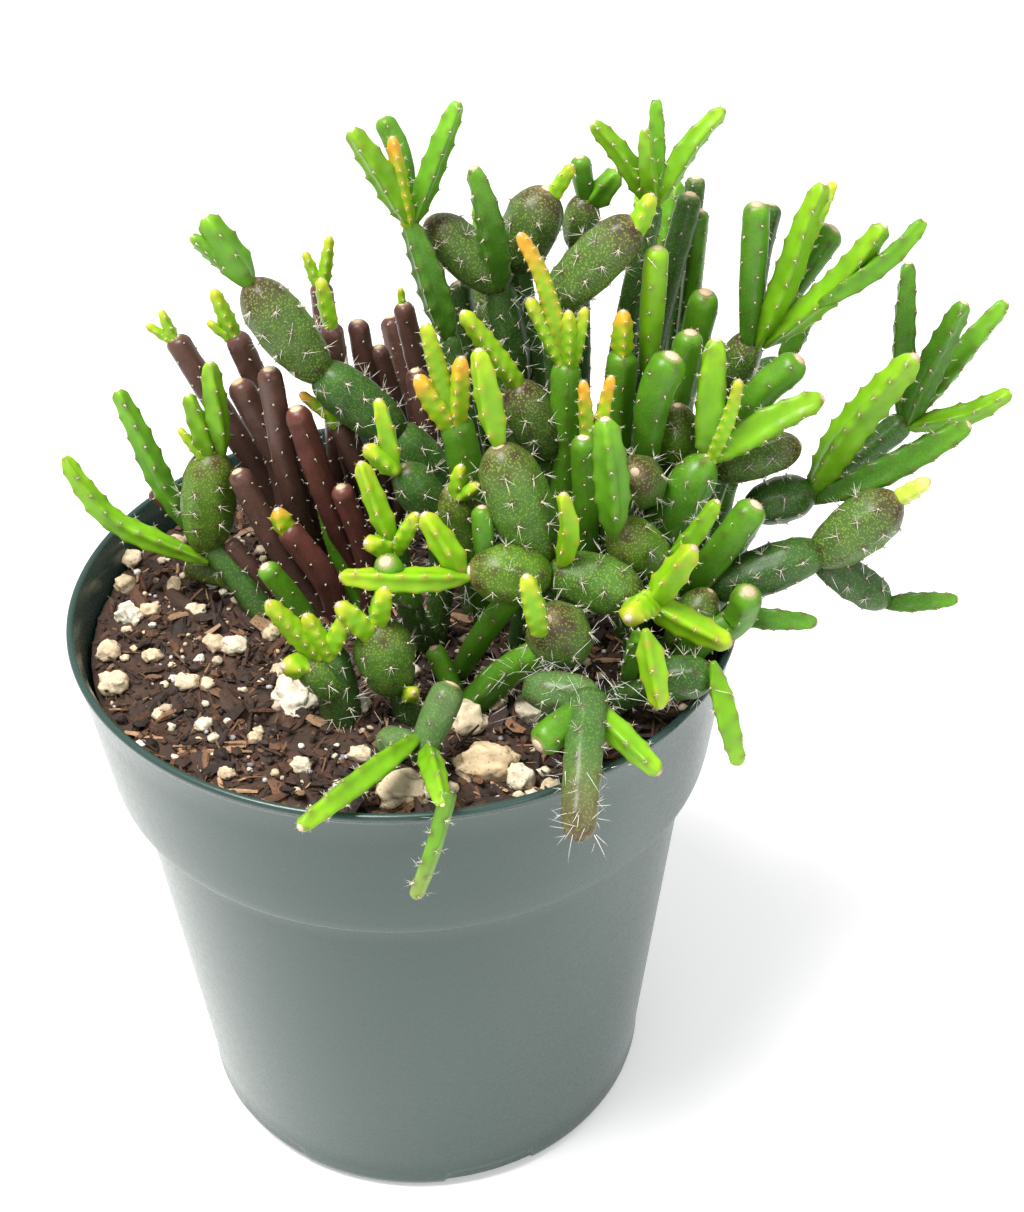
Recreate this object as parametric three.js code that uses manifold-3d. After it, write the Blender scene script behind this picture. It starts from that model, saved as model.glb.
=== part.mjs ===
// A dancing bones cactus (Hatiora-type, jointed stems) growing in a round nursery pot.
// Millimetres, +Z up, origin at the middle of the pot's underside.
import * as THREE from 'three';
import { mergeVertices } from 'three/addons/utils/BufferGeometryUtils.js';
import Module from 'manifold-3d';

const wasm = await Module();
wasm.setup();

// Pot: outer radii and heights of its tapered wall, of the wide collar and of the lip round the rim.
const pot = {
  height: 100, rimRadius: 52.5, collarBottomRadius: 49.2, collarBottom: 74, bodyTopRadius: 46.3,
  baseRadius: 39.4, wall: 1.2, lipHeight: 1.4, lipReach: 0.2, sides: 40,
};

// Pot underside: bevelled corner, floor, and the foot ring and centre boss it stands on.
const foot = { cornerHeight: 3, bevel: 1.2, width: 5, recess: 1.4, slope: 1, bossRadius: 11, floorTop: 3.4 };

// The step under the collar: how far the outside and the inside of the wall slope there.
const step = { outside: 0.6, inside: 2 };
const drain = { count: 6, width: 16, height: 2.5, depth: 12, bite: 3, turn: 0.32 };

// Potting mix: its level, the slope at its edge, and how it steps in where the wall narrows.
const mix = { top: 94.2, edgeDrop: 1.4, edgeWidth: 7, edgeGap: 0.4, stepBelow: 3, stepAbove: 1, stepGap: 0.6 };

// Clearance kept between separate pieces, and how deep the stems stay clear of the rim.
const clearance = 0.3;
const rimGuard = { depth: 8, width: 0.6 };

// A joint's start is pushed back into the piece it grows from by this much, so the two fuse.
const sunk = 1.5;

// The few flat sides of a joint are set this much wider and longer, to stand for its round outline.
const facetWiden = 1.07;
const tipReach = 0.5;

// Joint forms: sides around, rings along, bluntness of the ends, and the widths at start and tip.
const forms = {
  stalk: { sides: 5, rings: 2, blunt: 5, start: 1, tip: 0.85 },
  club: { sides: 6, rings: 3, blunt: 4, start: 0.7, tip: 1 },
  barrel: { sides: 7, rings: 4, blunt: 2.8, start: 0.95, tip: 1 },
  wing: { sides: 5, rings: 3, blunt: 3.6, start: 0.9, tip: 0.8 },
  sprout: { sides: 4, rings: 2, blunt: 3.8, start: 1, tip: 0.85 },
};

const finishes = {
  green: { color: 0x4c8a2c, roughness: 0.45 },
  bright: { color: 0x7db82f, roughness: 0.42 },
  purple: { color: 0x5c3338, roughness: 0.5 },
  pot: { color: 0x64797a, roughness: 0.38 },
  mix: { color: 0x4a3020, roughness: 0.95 },
  pumice: { color: 0xcdb48e, roughness: 0.9 },
  bark: { color: 0x5d3d28, roughness: 0.9 },
};

// Growth plan: every stem system as [form, width, start, ..., tip] joints in growing order.
const stems = {
  centre_star_branch: { finish: 'bright', joints: [
    ['stalk', 5, [21, -14, 90], [22, -16, 103], [24, -17, 114.5]],
    ['barrel', 9, [23.5, -17, 114.8], [36, -19, 111.5]],
    ['wing', 5, [37, -20, 111.5], [42.5, -22, 122.5]],
    ['wing', 5, [37, -20, 111], [43, -22, 108.5], [48.5, -24, 106.5]],
    ['sprout', 5, [36.5, -20, 111.5], [33, -28, 114.5]],
    ['wing', 3.6, [24, -18.5, 117.5], [25, -19.5, 123.5], [24, -19.5, 130]],
  ] },
  centre_barrel_stem: { finish: 'green', joints: [
    ['stalk', 5, [17, -10, 90], [19, -13, 104], [20.5, -15, 117]],
    ['barrel', 9.8, [20.5, -15, 117], [15, -14, 134.5]],
    ['wing', 4.4, [15, -13.5, 134.5], [12.5, -13, 149]],
  ] },
  front_centre_branch: { finish: 'green', joints: [
    ['club', 4.2, [7, -14, 90], [12, -16, 102], [18, -18, 113]],
    ['barrel', 9.4, [20.5, -18.5, 115.5], [10.5, -20.5, 117.5]],
    ['wing', 4.2, [9.5, -21.5, 117], [1, -22.5, 117.5], [-7.5, -23, 118.5]],
    ['wing', 4.4, [9.5, -20, 117.5], [4.5, -19, 126.5]],
    ['club', 3.6, [13, -18, 118], [12.7, -16.5, 126]],
  ] },
  front_round_stem: { finish: 'green', joints: [
    ['stalk', 5.8, [9, -20, 90], [16, -23, 101], [24, -25.5, 108.5]],
    ['barrel', 9.4, [25, -25, 107.5], [21.5, -30, 116]],
    ['sprout', 3.8, [20.5, -32, 116.5], [18.7, -32, 125]],
    ['club', 3.6, [9.5, -20.2, 91], [5, -18, 102]],
  ] },
  front_spiny_branch: { finish: 'green', joints: [
    ['stalk', 4.6, [22, -24, 90], [23, -29, 99], [25, -33, 104]],
    ['barrel', 6.4, [20, -33, 106], [29, -35.5, 106.5]],
    ['club', 5.2, [27.5, -37, 106.5], [20, -44, 105]],
    ['stalk', 6.4, [27.3, -38, 107], [26.4, -46, 104.8], [25.4, -56, 98.8]],
    ['wing', 4.2, [28, -38, 106.5], [36.7, -47, 102.5]],
  ] },
  front_right_branch: { finish: 'green', joints: [
    ['stalk', 5.2, [27, -22, 90], [33, -25, 98], [38, -28, 103.5]],
    ['barrel', 6.6, [37.5, -28, 103.8], [46, -29, 105]],
    ['wing', 4.4, [45.5, -30.5, 107], [47.5, -33, 100], [49.5, -34, 92.5]],
    ['wing', 3.8, [33.5, -24, 99], [34.5, -29, 111], [35.3, -34, 115.5]],
    ['wing', 4.2, [35.3, -34, 115.5], [37.3, -37.5, 106]],
  ] },
  right_rim_stem: { finish: 'green', joints: [
    ['club', 5.4, [38, -18, 90], [44, -17, 101], [50, -16, 105], [51.3, -18, 112]],
    ['wing', 4.4, [50.5, -14.5, 104.5], [62.5, -15, 103.8]],
    ['barrel', 6.8, [42, -14.5, 100], [46.5, -13, 108.5]],
  ] },
  right_long_branch: { finish: 'green', joints: [
    ['stalk', 5, [38, -11, 90], [43, -11, 99], [49, -9, 106]],
    ['barrel', 7.6, [48.5, -9, 106], [64, -7, 111.5]],
    ['barrel', 9, [64, -7, 111], [74.3, -6.5, 120.5]],
    ['sprout', 3.2, [74.5, -6.5, 120.5], [78.2, -7, 123.8]],
    ['barrel', 6.2, [64.5, -6, 108.5], [75, -6, 100.5]],
    ['wing', 4.2, [75, -6, 100.5], [85.5, -7, 102]],
  ] },
  front_left_stem: { finish: 'bright', joints: [
    ['barrel', 6.4, [-8.3, -24, 90], [-9.5, -24, 107]],
    ['barrel', 5.4, [-9.5, -25.5, 100.5], [-13.5, -26, 106]],
    ['sprout', 3.6, [-11.5, -25, 106.5], [-17.5, -26, 116.5]],
    ['sprout', 4.2, [-13.5, -26, 105], [-16, -28, 106.5]],
    ['sprout', 3.4, [-10, -25, 106.5], [-12.5, -25, 113.5]],
    ['sprout', 3.6, [-9.5, -24.5, 106.5], [-6.5, -24.5, 113]],
  ] },
  front_left_barrel_stem: { finish: 'bright', joints: [
    ['stalk', 5.2, [2.5, -24, 90], [0, -24, 101.5]],
    ['barrel', 9, [-0.8, -24, 100.5], [-2.7, -24, 111.5]],
    ['sprout', 4, [-4, -25, 110.5], [-7.7, -26, 116]],
    ['sprout', 3.6, [-2.3, -24, 111.5], [-1, -24, 117.5]],
    ['sprout', 3, [1.5, -25, 98.5], [2.7, -29, 102.3]],
  ] },
  rim_cutting: { finish: 'green', joints: [
    ['club', 5, [5, -36, 98], [-2.5, -31.5, 95.5]],
    ['club', 5.6, [4, -38, 98.5], [8.4, -32, 106.5]],
    ['wing', 4, [4.8, -38, 99.5], [6, -46, 102.4], [7.6, -54, 103.2]],
    ['stalk', 2.7, [7.9, -52.8, 102.9], [6, -57, 98], [3.5, -57.5, 90]],
  ] },
  rim_cutting_arm: { finish: 'bright', joints: [
    ['wing', 4.4, [3, -38, 101], [-3, -47, 102.5], [-11, -58, 103.4]],
  ] },
  lime_fork: { finish: 'bright', joints: [
    ['stalk', 4.6, [4, -6, 90], [6, -5.5, 105], [5.5, -7, 118]],
    ['barrel', 7, [5.8, -7.3, 118], [1, -8, 127.5]],
    ['wing', 3.6, [0, -8.5, 127.5], [-1.8, -8.5, 138.8]],
    ['sprout', 3.4, [-0.5, -9, 128], [-4, -10, 132]],
    ['stalk', 4.6, [4, -6, 90], [1.5, -11.5, 104], [0, -15, 119]],
    ['wing', 3.8, [-0.5, -15, 119], [-4.3, -14.5, 132.2]],
    ['sprout', 3.6, [-1.5, -16, 118.5], [-4, -18, 121]],
    ['sprout', 3.2, [0.5, -15.5, 118.5], [3.5, -16, 124.5]],
    ['club', 5, [2, -14, 108], [0.5, -19, 114], [-1, -22, 120.5]],
  ] },
  front_left_club: { finish: 'green', joints: [
    ['club', 4.1, [-12, -7, 90], [-15.5, -8, 101], [-20.3, -9, 110.7]],
  ] },
  orange_trio_stem: { finish: 'green', joints: [
    ['club', 5.8, [13, -3, 90], [11.5, -4, 115], [8.7, -4, 133.5]],
    ['sprout', 3.6, [8.3, -4, 133], [5, -4, 148.3]],
    ['sprout', 4, [8, -4.5, 132.5], [3.5, -5, 140.5]],
    ['sprout', 3.4, [9, -4.5, 132.5], [10, -5, 143.5]],
    ['barrel', 6.8, [10.5, -8, 112], [8, -9, 124.3]],
    ['sprout', 2.8, [8.8, -9.5, 123.5], [9.7, -10, 128.8]],
    ['sprout', 2.6, [9.3, -10, 123.5], [12.3, -11, 126]],
  ] },
  spiny_barrel_chain: { finish: 'green', joints: [
    ['stalk', 5.5, [11, 4, 90], [10, 4, 104], [7, 4, 116]],
    ['barrel', 7.4, [7, 4, 115.5], [-1, 4, 127]],
    ['barrel', 8.2, [-1, 4, 126.5], [-12, 5, 136.5]],
    ['barrel', 8.6, [-12, 5, 136.5], [-20.5, 5, 150.5]],
    ['wing', 5.2, [-20.5, 5, 150.5], [-25.5, 4, 161]],
    ['sprout', 2.8, [-23, 4.5, 153], [-27.5, 3, 158.5]],
  ] },
  dark_barrel_stem: { finish: 'green', joints: [
    ['stalk', 5, [21, 3, 90], [22, 3, 108], [22, 3, 124]],
    ['barrel', 7.8, [22, 3, 123.5], [17.5, 3, 135]],
    ['sprout', 3.6, [17.5, 3, 135], [10, 2, 147]],
  ] },
  yellow_fan_stem: { finish: 'green', joints: [
    ['club', 5.2, [27, -3, 90], [25, 2, 115], [25, 4, 138]],
    ['sprout', 3.2, [24.5, 4, 137.5], [22, 4, 143], [19.5, 4, 148]],
    ['sprout', 3.2, [25, 4, 138], [21.5, 4, 151], [18.2, 4, 158]],
    ['sprout', 2.8, [25.5, 3.5, 137.5], [25.2, 3, 146.5]],
    ['sprout', 2.6, [26, 4, 137.5], [27.7, 4, 146.5]],
    ['club', 4.4, [27, -3, 90], [28, -6.5, 112], [27.3, -6, 131]],
    ['sprout', 2.6, [28.3, -5, 127], [27.2, -4, 139]],
    ['sprout', 2.6, [28.8, -5, 127], [31.3, -3.5, 139.5]],
  ] },
  winged_club_stem: { finish: 'green', joints: [
    ['stalk', 4.6, [35, -8, 90], [37.5, -9, 104], [38, -11, 113]],
    ['barrel', 8.2, [38, -11, 112.5], [31.8, -14.5, 120.5]],
    ['wing', 5.6, [31.5, -15, 120.5], [31, -15, 129], [29.8, -14.5, 139]],
    ['wing', 3.8, [40, -12, 113], [43.5, -12.5, 118], [46.5, -13, 124.3]],
  ] },
  right_mid_barrel_stem: { finish: 'bright', joints: [
    ['stalk', 5, [34, -4, 90], [36, -5, 102], [38, -5, 112]],
    ['barrel', 7.6, [38, -5, 111.5], [46, -3.5, 126]],
    ['wing', 6, [46, -2, 125], [46, -1, 134], [46.3, 0, 143.5]],
    ['wing', 6, [47, -3, 125.5], [54, -3, 131], [62, -3, 135.5]],
    ['sprout', 2.6, [46.5, -3.5, 126], [48.5, -4, 133], [49.5, -4, 139]],
  ] },
  left_fat_stem: { finish: 'bright', joints: [
    ['stalk', 5.4, [-21, 1, 90], [-27, 5, 98], [-32, 8, 104]],
    ['barrel', 9, [-32, 8, 104], [-29.5, 9, 120]],
    ['wing', 4.2, [-28, 9, 120], [-28.2, 9, 135.5]],
    ['wing', 3.8, [-30, 8.5, 119.5], [-32, 8, 130.5]],
    ['sprout', 1.8, [-31, 8, 119.5], [-34, 8, 124.5]],
  ] },
  left_low_arm: { finish: 'bright', joints: [
    ['wing', 4.2, [-33, 6, 101.5], [-45, 7.5, 107], [-50, 8.5, 113], [-53, 10, 118.5]],
  ] },
  left_high_arm: { finish: 'bright', joints: [
    ['wing', 4.4, [-35.5, 12, 103.5], [-39, 12, 113], [-41.5, 13, 121], [-44, 14, 128]],
  ] },
  top_left_fan: { finish: 'green', joints: [
    ['stalk', 4.6, [14, 14, 90], [11, 12, 115], [7.5, 13, 138]],
    ['wing', 5.6, [7.5, 13, 137], [5, 13, 147], [2.3, 14, 155.5]],
    ['wing', 4.6, [2.3, 14, 155.5], [-1, 12, 163], [-5, 10, 171]],
    ['wing', 4, [3, 14.5, 155.5], [6.5, 17, 164], [9.8, 19, 171.5]],
    ['club', 3.8, [2.5, 15.5, 155], [1, 20, 163], [-1.5, 22, 168]],
    ['sprout', 2.6, [2, 13.5, 156], [0.5, 12, 169]],
    ['club', 4.2, [14, 14, 90], [12, 20, 115], [9, 22, 142]],
  ] },
  top_left_spiny_stem: { finish: 'green', joints: [
    ['stalk', 5.2, [18, 13, 90], [18.5, 15, 110], [18, 16, 129]],
    ['barrel', 5.6, [18, 16, 128.5], [15, 17, 145]],
    ['barrel', 8, [15, 17, 144.5], [4.5, 19, 153.5]],
    ['wing', 5.2, [15.3, 16, 143.5], [14, 12.5, 156], [11.8, 12, 164.5]],
  ] },
  top_round_stem: { finish: 'green', joints: [
    ['stalk', 5, [22, 19, 90], [21, 20, 120], [18, 21, 147]],
    ['barrel', 9, [18, 21, 146], [22.5, 21, 157.5]],
    ['sprout', 2.8, [23.5, 21, 156.5], [26.3, 21, 161]],
  ] },
  top_big_barrel_stem: { finish: 'green', joints: [
    ['stalk', 5, [25, 9, 90], [25, 9, 120], [23, 9, 144]],
    ['barrel', 8, [23.5, 9, 145], [35, 8, 158]],
    ['sprout', 3.4, [35, 8, 157], [37, 8, 162]],
  ] },
  top_fan_stem: { finish: 'bright', joints: [
    ['stalk', 4.8, [31, 14, 90], [33, 15, 125], [37.5, 15, 158]],
    ['wing', 3.6, [37, 15, 158], [33, 14, 165], [28.5, 13, 170.5]],
    ['wing', 3.2, [37.5, 14.5, 158], [36.5, 12.5, 164], [35.8, 12, 170]],
    ['wing', 3.6, [38, 15.5, 158], [38, 17, 166], [37.7, 18, 172]],
    ['wing', 4, [38, 15, 157.5], [42.5, 17, 165], [47.5, 18, 170.5]],
  ] },
  top_back_stem: { finish: 'green', joints: [
    ['stalk', 4.4, [27, 26, 90], [28, 27, 120], [27.5, 28, 146]],
    ['barrel', 6, [27.5, 28, 146], [28.5, 28, 153.5]],
    ['club', 3.6, [28.5, 28, 152.5], [27.5, 28, 159.5]],
    ['wing', 4.4, [29.5, 28, 152], [33.5, 27, 157.5]],
  ] },
  bright_club_pair: { finish: 'green', joints: [
    ['club', 5.4, [34.5, 7.5, 90], [32.5, 5.5, 115], [33.3, 5, 139]],
    ['sprout', 3.4, [33.3, 5, 138.5], [33.2, 5, 145.5]],
    ['stalk', 4.4, [34.5, 7.5, 90], [37.5, 9, 112], [37.5, 8, 134]],
    ['club', 4.2, [37.5, 8, 134], [38, 8, 154]],
  ] },
  broad_club_stem: { finish: 'green', joints: [
    ['stalk', 4.6, [36, 0, 90], [36.5, 0, 108], [37, -1, 126]],
    ['club', 6, [37, -1, 125], [37.5, -1.5, 134], [40, -2, 142]],
    ['barrel', 7.8, [37, -2, 119], [34.5, -11, 128]],
  ] },
  tall_green_trio: { finish: 'green', joints: [
    ['club', 4.4, [41, 19, 90], [38.5, 20, 125], [43.8, 21, 156.5]],
    ['club', 3.8, [41, 19, 90], [43, 25, 125], [45, 26, 157]],
    ['club', 3.6, [41, 19, 90], [44, 22, 125], [45.5, 23, 153]],
    ['club', 5.4, [41, 19, 90], [42.5, 15, 120], [46, 13, 144.5]],
  ] },
  right_fan: { finish: 'green', joints: [
    ['stalk', 4.6, [45, 10, 90], [50, 11, 113], [51, 11, 131]],
    ['barrel', 6, [51, 11, 130.5], [52.5, 10, 139]],
    ['club', 4.4, [52.3, 9.5, 138.5], [52, 9, 150], [51.7, 8, 160.5]],
    ['club', 3.6, [53, 12, 137], [54, 16, 148], [55.5, 18, 156]],
    ['wing', 4.6, [54, 9, 138], [57, 8, 149], [59, 8, 158], [61, 8, 163.5]],
    ['sprout', 2.4, [59, 9.5, 152], [63.3, 13, 161.5]],
    ['club', 5.2, [55, 12, 137.5], [59, 13, 146], [64, 13, 154.5]],
    ['wing', 4.8, [55.5, 8.5, 138.5], [64, 6, 149], [69.5, 5, 158.5]],
    ['wing', 3.8, [62, 5, 146.5], [70, 3, 154], [74.5, 3, 160]],
  ] },
  mid_dark_club: { finish: 'green', joints: [
    ['club', 5.2, [42, 6, 90], [41, 6.5, 120], [43.3, 6, 141.5]],
    ['barrel', 6.6, [42, 3, 119], [41.5, 2, 131.5]],
  ] },
  right_back_club: { finish: 'green', joints: [
    ['club', 5.6, [46, 4, 90], [49, 5, 112], [52, 4, 129], [59.5, 4, 138]],
  ] },
  right_dark_barrel_stem: { finish: 'green', joints: [
    ['stalk', 5, [43, -3, 90], [49, -2, 104], [54.5, 0, 114.5]],
    ['barrel', 7.6, [54.5, 0.5, 114.5], [63.5, 1.5, 116.5]],
    ['wing', 6.2, [63, 2, 116], [67, 1, 127], [75, -1, 141]],
    ['wing', 6, [64, 1, 115.5], [74, 0, 121.5], [84.5, -1, 129.5]],
  ] },
  right_far_fan: { finish: 'green', joints: [
    ['club', 5, [64, 8, 113], [71, 9, 118], [78, 10, 124]],
    ['wing', 4.6, [77.5, 10.5, 123.5], [76.5, 13, 136], [76, 15, 148]],
    ['wing', 4.8, [78, 9.5, 123.5], [80, 8.5, 134], [83.3, 8, 145]],
    ['wing', 4.8, [78.5, 10.5, 124], [85, 12, 134], [91, 13, 142.5]],
    ['wing', 4, [78.5, 9, 123.5], [86, 7, 126.5], [92, 6, 131]],
  ] },
  right_plum_stem: { finish: 'green', joints: [
    ['stalk', 4.8, [41, -3, 90], [45, 1, 106], [49, 2, 121]],
    ['barrel', 6.8, [49, 2, 120.5], [60.5, 2, 124.5]],
    ['club', 5.6, [41, -3, 90], [45, -8, 106], [53, -8, 120.5]],
  ] },
  purple_far_left: { finish: 'bright', joints: [
    ['club', 4.6, [-14, 15, 90], [-24, 16, 112], [-35, 18, 135]],
    ['sprout', 2, [-35, 18, 134.5], [-36.5, 18, 139.5]],
    ['sprout', 1.8, [-35, 18, 134], [-39, 18, 137]],
  ] },
  purple_back_pair: { finish: 'bright', joints: [
    ['club', 4.6, [-13, 20, 90], [-19, 20, 112], [-26, 20, 134.5]],
    ['sprout', 2.8, [-26, 20, 134], [-28.5, 20, 142]],
    ['sprout', 2, [-26.5, 20, 133.5], [-30, 20, 136.5]],
    ['club', 4.2, [-13, 20, 90], [-11, 18.5, 118], [-12, 20, 143]],
    ['sprout', 2, [-12.3, 20, 142], [-14, 20, 148]],
    ['sprout', 2.2, [-11.7, 20, 142], [-10, 20, 150.5]],
  ] },
  purple_mid_pair: { finish: 'purple', joints: [
    ['club', 5, [-13, 9, 90], [-18, 11.5, 112], [-25, 12, 130.5]],
    ['club', 4.4, [-13, 9, 90], [-17, 6, 112], [-19, 6, 136]],
  ] },
  purple_centre_pair: { finish: 'purple', joints: [
    ['club', 4.6, [-6, 6, 90], [-11, 3.5, 112], [-15, 2, 131.5]],
    ['club', 4.4, [-6, 6, 90], [-4.5, 7, 110], [-9.5, 6, 127]],
    ['sprout', 3.4, [-9.5, 6, 126], [-11.5, 5, 134]],
    ['sprout', 2.2, [-10.5, 5.5, 128], [-14.5, 4.5, 132.5]],
  ] },
  purple_back_trio: { finish: 'purple', joints: [
    ['club', 4, [-4, 17.5, 90], [-5, 21, 114], [-7, 22, 135.5]],
    ['club', 3.6, [-4, 17.5, 90], [-1, 22, 112], [-4, 22, 131]],
    ['club', 4.2, [-4, 17.5, 90], [-8.5, 13, 116], [-10, 12, 140]],
    ['sprout', 2.8, [-10, 12, 139.5], [-11, 12, 147.5]],
  ] },
  purple_right_pair: { finish: 'purple', joints: [
    ['club', 3.8, [6, 18, 90], [4, 23, 114], [0, 25, 137]],
    ['sprout', 1.4, [0, 25, 136.5], [-0.2, 25, 139.5]],
    ['club', 4, [6, 18, 90], [4.5, 16, 110], [2, 17, 129.5]],
  ] },
  purple_front_pair: { finish: 'purple', joints: [
    ['club', 4.4, [-11, 0.5, 90], [-19, 2, 105], [-25, 3, 120]],
    ['club', 4.9, [-11, 0.5, 90], [-12, -0.5, 101], [-18, 0, 112]],
    ['sprout', 3.6, [-18, 0, 111.5], [-19, 0, 115]],
  ] },
  purple_low_trio: { finish: 'purple', joints: [
    ['club', 4.6, [-19.5, 7, 91.5], [-29, 8.5, 96], [-36.5, 9.5, 97.5]],
    ['club', 4, [-19, 7, 90], [-19, 12, 106], [-21.5, 15, 119]],
    ['club', 3.6, [-19, 7, 90], [-24, 6, 98], [-28.5, 7, 104.5]],
  ] },
  purple_behind_arms: { finish: 'purple', joints: [
    ['club', 3.2, [-27, 14, 90], [-34, 15.5, 101], [-42, 17, 107.5]],
  ] },
  wine_and_slim_pair: { finish: 'purple', joints: [
    ['club', 4, [-6, 1.5, 90], [-6, 1, 105], [-9, 0, 119]],
    ['club', 3.2, [-6, 1.5, 90], [-11, 4, 105], [-12.3, 4.5, 118]],
  ] },
  back_left_club: { finish: 'purple', joints: [
    ['club', 4.4, [3, 28, 90], [0, 33, 112], [-3, 38, 128]],
    ['club', 4.2, [3, 28, 90], [7, 35, 112], [8, 41, 132]],
  ] },
  back_mid_barrel_stem: { finish: 'green', joints: [
    ['stalk', 5, [16, 30, 90], [16, 35, 112], [15, 38, 124]],
    ['barrel', 8, [15, 38, 123], [13, 41, 137]],
    ['wing', 4.6, [13, 41, 136.5], [12, 45, 149]],
  ] },
  back_right_barrel_stem: { finish: 'green', joints: [
    ['stalk', 5, [34, 27, 90], [37, 33, 112], [38, 36, 124]],
    ['barrel', 8, [38, 36, 123], [41, 40, 137]],
    ['wing', 4.8, [41, 40, 136.5], [44, 44, 149]],
    ['wing', 4.4, [41.5, 40, 136.5], [38, 45, 147]],
  ] },
  back_low_stem: { finish: 'green', joints: [
    ['stalk', 4.8, [25, 34, 90], [26, 40, 104], [27, 44, 112]],
    ['barrel', 7.6, [27, 44, 111.5], [27, 50, 122]],
    ['wing', 4.6, [27, 50, 121.5], [28, 56, 131]],
  ] },
  back_far_right_stem: { finish: 'green', joints: [
    ['stalk', 4.6, [43, 25, 90], [50, 29, 104], [55, 31, 114]],
    ['barrel', 7.2, [55, 31, 113.5], [62, 33, 122]],
    ['wing', 4.8, [62, 33, 121.5], [67, 36, 133]],
  ] },
};

// Loose chunks lying on the mix: radius along each axis, place on the mix, and turn.
const chunks = {
  pumice_lump: { finish: 'pumice', size: [4.5, 3.8, 3], at: [13, -36], turn: 0.4 },
  perlite_lump: { finish: 'pumice', size: [4.2, 3.4, 3], at: [-16, -20], turn: 1.1 },
  cream_pumice_lump: { finish: 'pumice', size: [4, 3.2, 2.8], at: [1.5, -41], turn: -0.5 },
  left_perlite_lump: { finish: 'pumice', size: [3, 2.6, 2.2], at: [-44.5, 1], turn: 0.8 },
  bark_sliver: { finish: 'bark', size: [7, 1.5, 1], at: [-26.5, -31], turn: 0.05 },
};
const chunkShape = { sides: 7, rings: 4, sink: 0.3, wave: 0.12 };

// Turns a closed geometry into a solid: equal corners merged and collapsed triangles left out.
function toSolid(geometry) {
  geometry.deleteAttribute('normal');
  geometry.deleteAttribute('uv');
  const merged = mergeVertices(geometry, 1e-4);
  const corners = merged.index.array;
  const kept = [];
  for (let i = 0; i < corners.length; i += 3) {
    const [a, b, c] = corners.slice(i, i + 3);
    if (a !== b && b !== c && c !== a) kept.push(a, b, c);
  }
  return new wasm.Manifold(new wasm.Mesh({
    numProp: 3,
    vertProperties: new Float32Array(merged.attributes.position.array),
    triVerts: new Uint32Array(kept),
  }));
}

function toGeometry(solid) {
  const mesh = solid.getMesh();
  const geometry = new THREE.BufferGeometry();
  geometry.setAttribute('position', new THREE.BufferAttribute(mesh.vertProperties, 3));
  geometry.setIndex(new THREE.BufferAttribute(mesh.triVerts, 1));
  return geometry;
}

function joinAll(solids) {
  return solids.reduce((whole, piece) => whole.add(piece));
}

function cutBackFrom(others, solid) {
  return others.reduce((rest, other) => rest.subtract(other), solid);
}

function biggestBody(solid) {
  return solid.decompose().sort((a, b) => b.volume() - a.volume())[0];
}

// Lathe about +Z from [radius, height] pairs.
function latheSolid(profile, sides) {
  const points = profile.map(([radius, height]) => new THREE.Vector2(radius, height));
  return toSolid(new THREE.LatheGeometry(points, sides).rotateX(Math.PI / 2));
}

// One joint: a lathe of the form's outline, bent so that its axis follows the path.
function jointSolid([form, width, ...places], grow) {
  const shape = forms[form];
  const path = places.map((place) => new THREE.Vector3(...place));
  const last = path.length - 1;
  const lead = path[0].clone().sub(path[1]).setLength(sunk);
  const reach = path[last].clone().sub(path[last - 1]).setLength(tipReach);
  path[0].add(lead);
  path[last].add(reach);
  const axis = new THREE.CatmullRomCurve3(path);
  const outline = [new THREE.Vector2(0, 0)];
  for (let ring = 1; ring <= shape.rings; ring += 1) {
    const along = (1 - Math.cos((Math.PI * ring) / (shape.rings + 1))) / 2;
    const round = (1 - Math.abs(2 * along - 1) ** shape.blunt) ** (1 / shape.blunt);
    const taper = THREE.MathUtils.lerp(shape.start, shape.tip, along);
    const radius = (width / 2) * facetWiden * round * taper;
    outline.push(new THREE.Vector2(radius + grow, along));
  }
  outline.push(new THREE.Vector2(0, 1));
  const geometry = new THREE.LatheGeometry(outline, shape.sides);
  const heading = path[last].clone().sub(path[0]).normalize();
  const side = new THREE.Vector3(0, -1, 0).cross(heading).normalize();
  const position = geometry.attributes.position;
  for (let i = 0; i < position.count; i += 1) {
    const along = position.getY(i);
    const tangent = axis.getTangent(along);
    const right = side.clone().addScaledVector(tangent, -side.dot(tangent)).normalize();
    const front = right.clone().cross(tangent);
    const place = axis.getPoint(along).addScaledVector(tangent, (2 * along - 1) * grow);
    place.addScaledVector(right, position.getX(i)).addScaledVector(front, position.getZ(i));
    position.setXYZ(i, place.x, place.y, place.z);
  }
  return toSolid(geometry);
}

function stemSolid(joints, grow) {
  return joinAll(joints.map((joint) => jointSolid(joint, grow)));
}

function wallRadius(height) {
  if (height >= pot.collarBottom) {
    const up = (height - pot.collarBottom) / (pot.height - pot.collarBottom);
    return THREE.MathUtils.lerp(pot.collarBottomRadius, pot.rimRadius, up);
  }
  return THREE.MathUtils.lerp(pot.baseRadius, pot.bodyTopRadius, height / pot.collarBottom);
}

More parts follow.
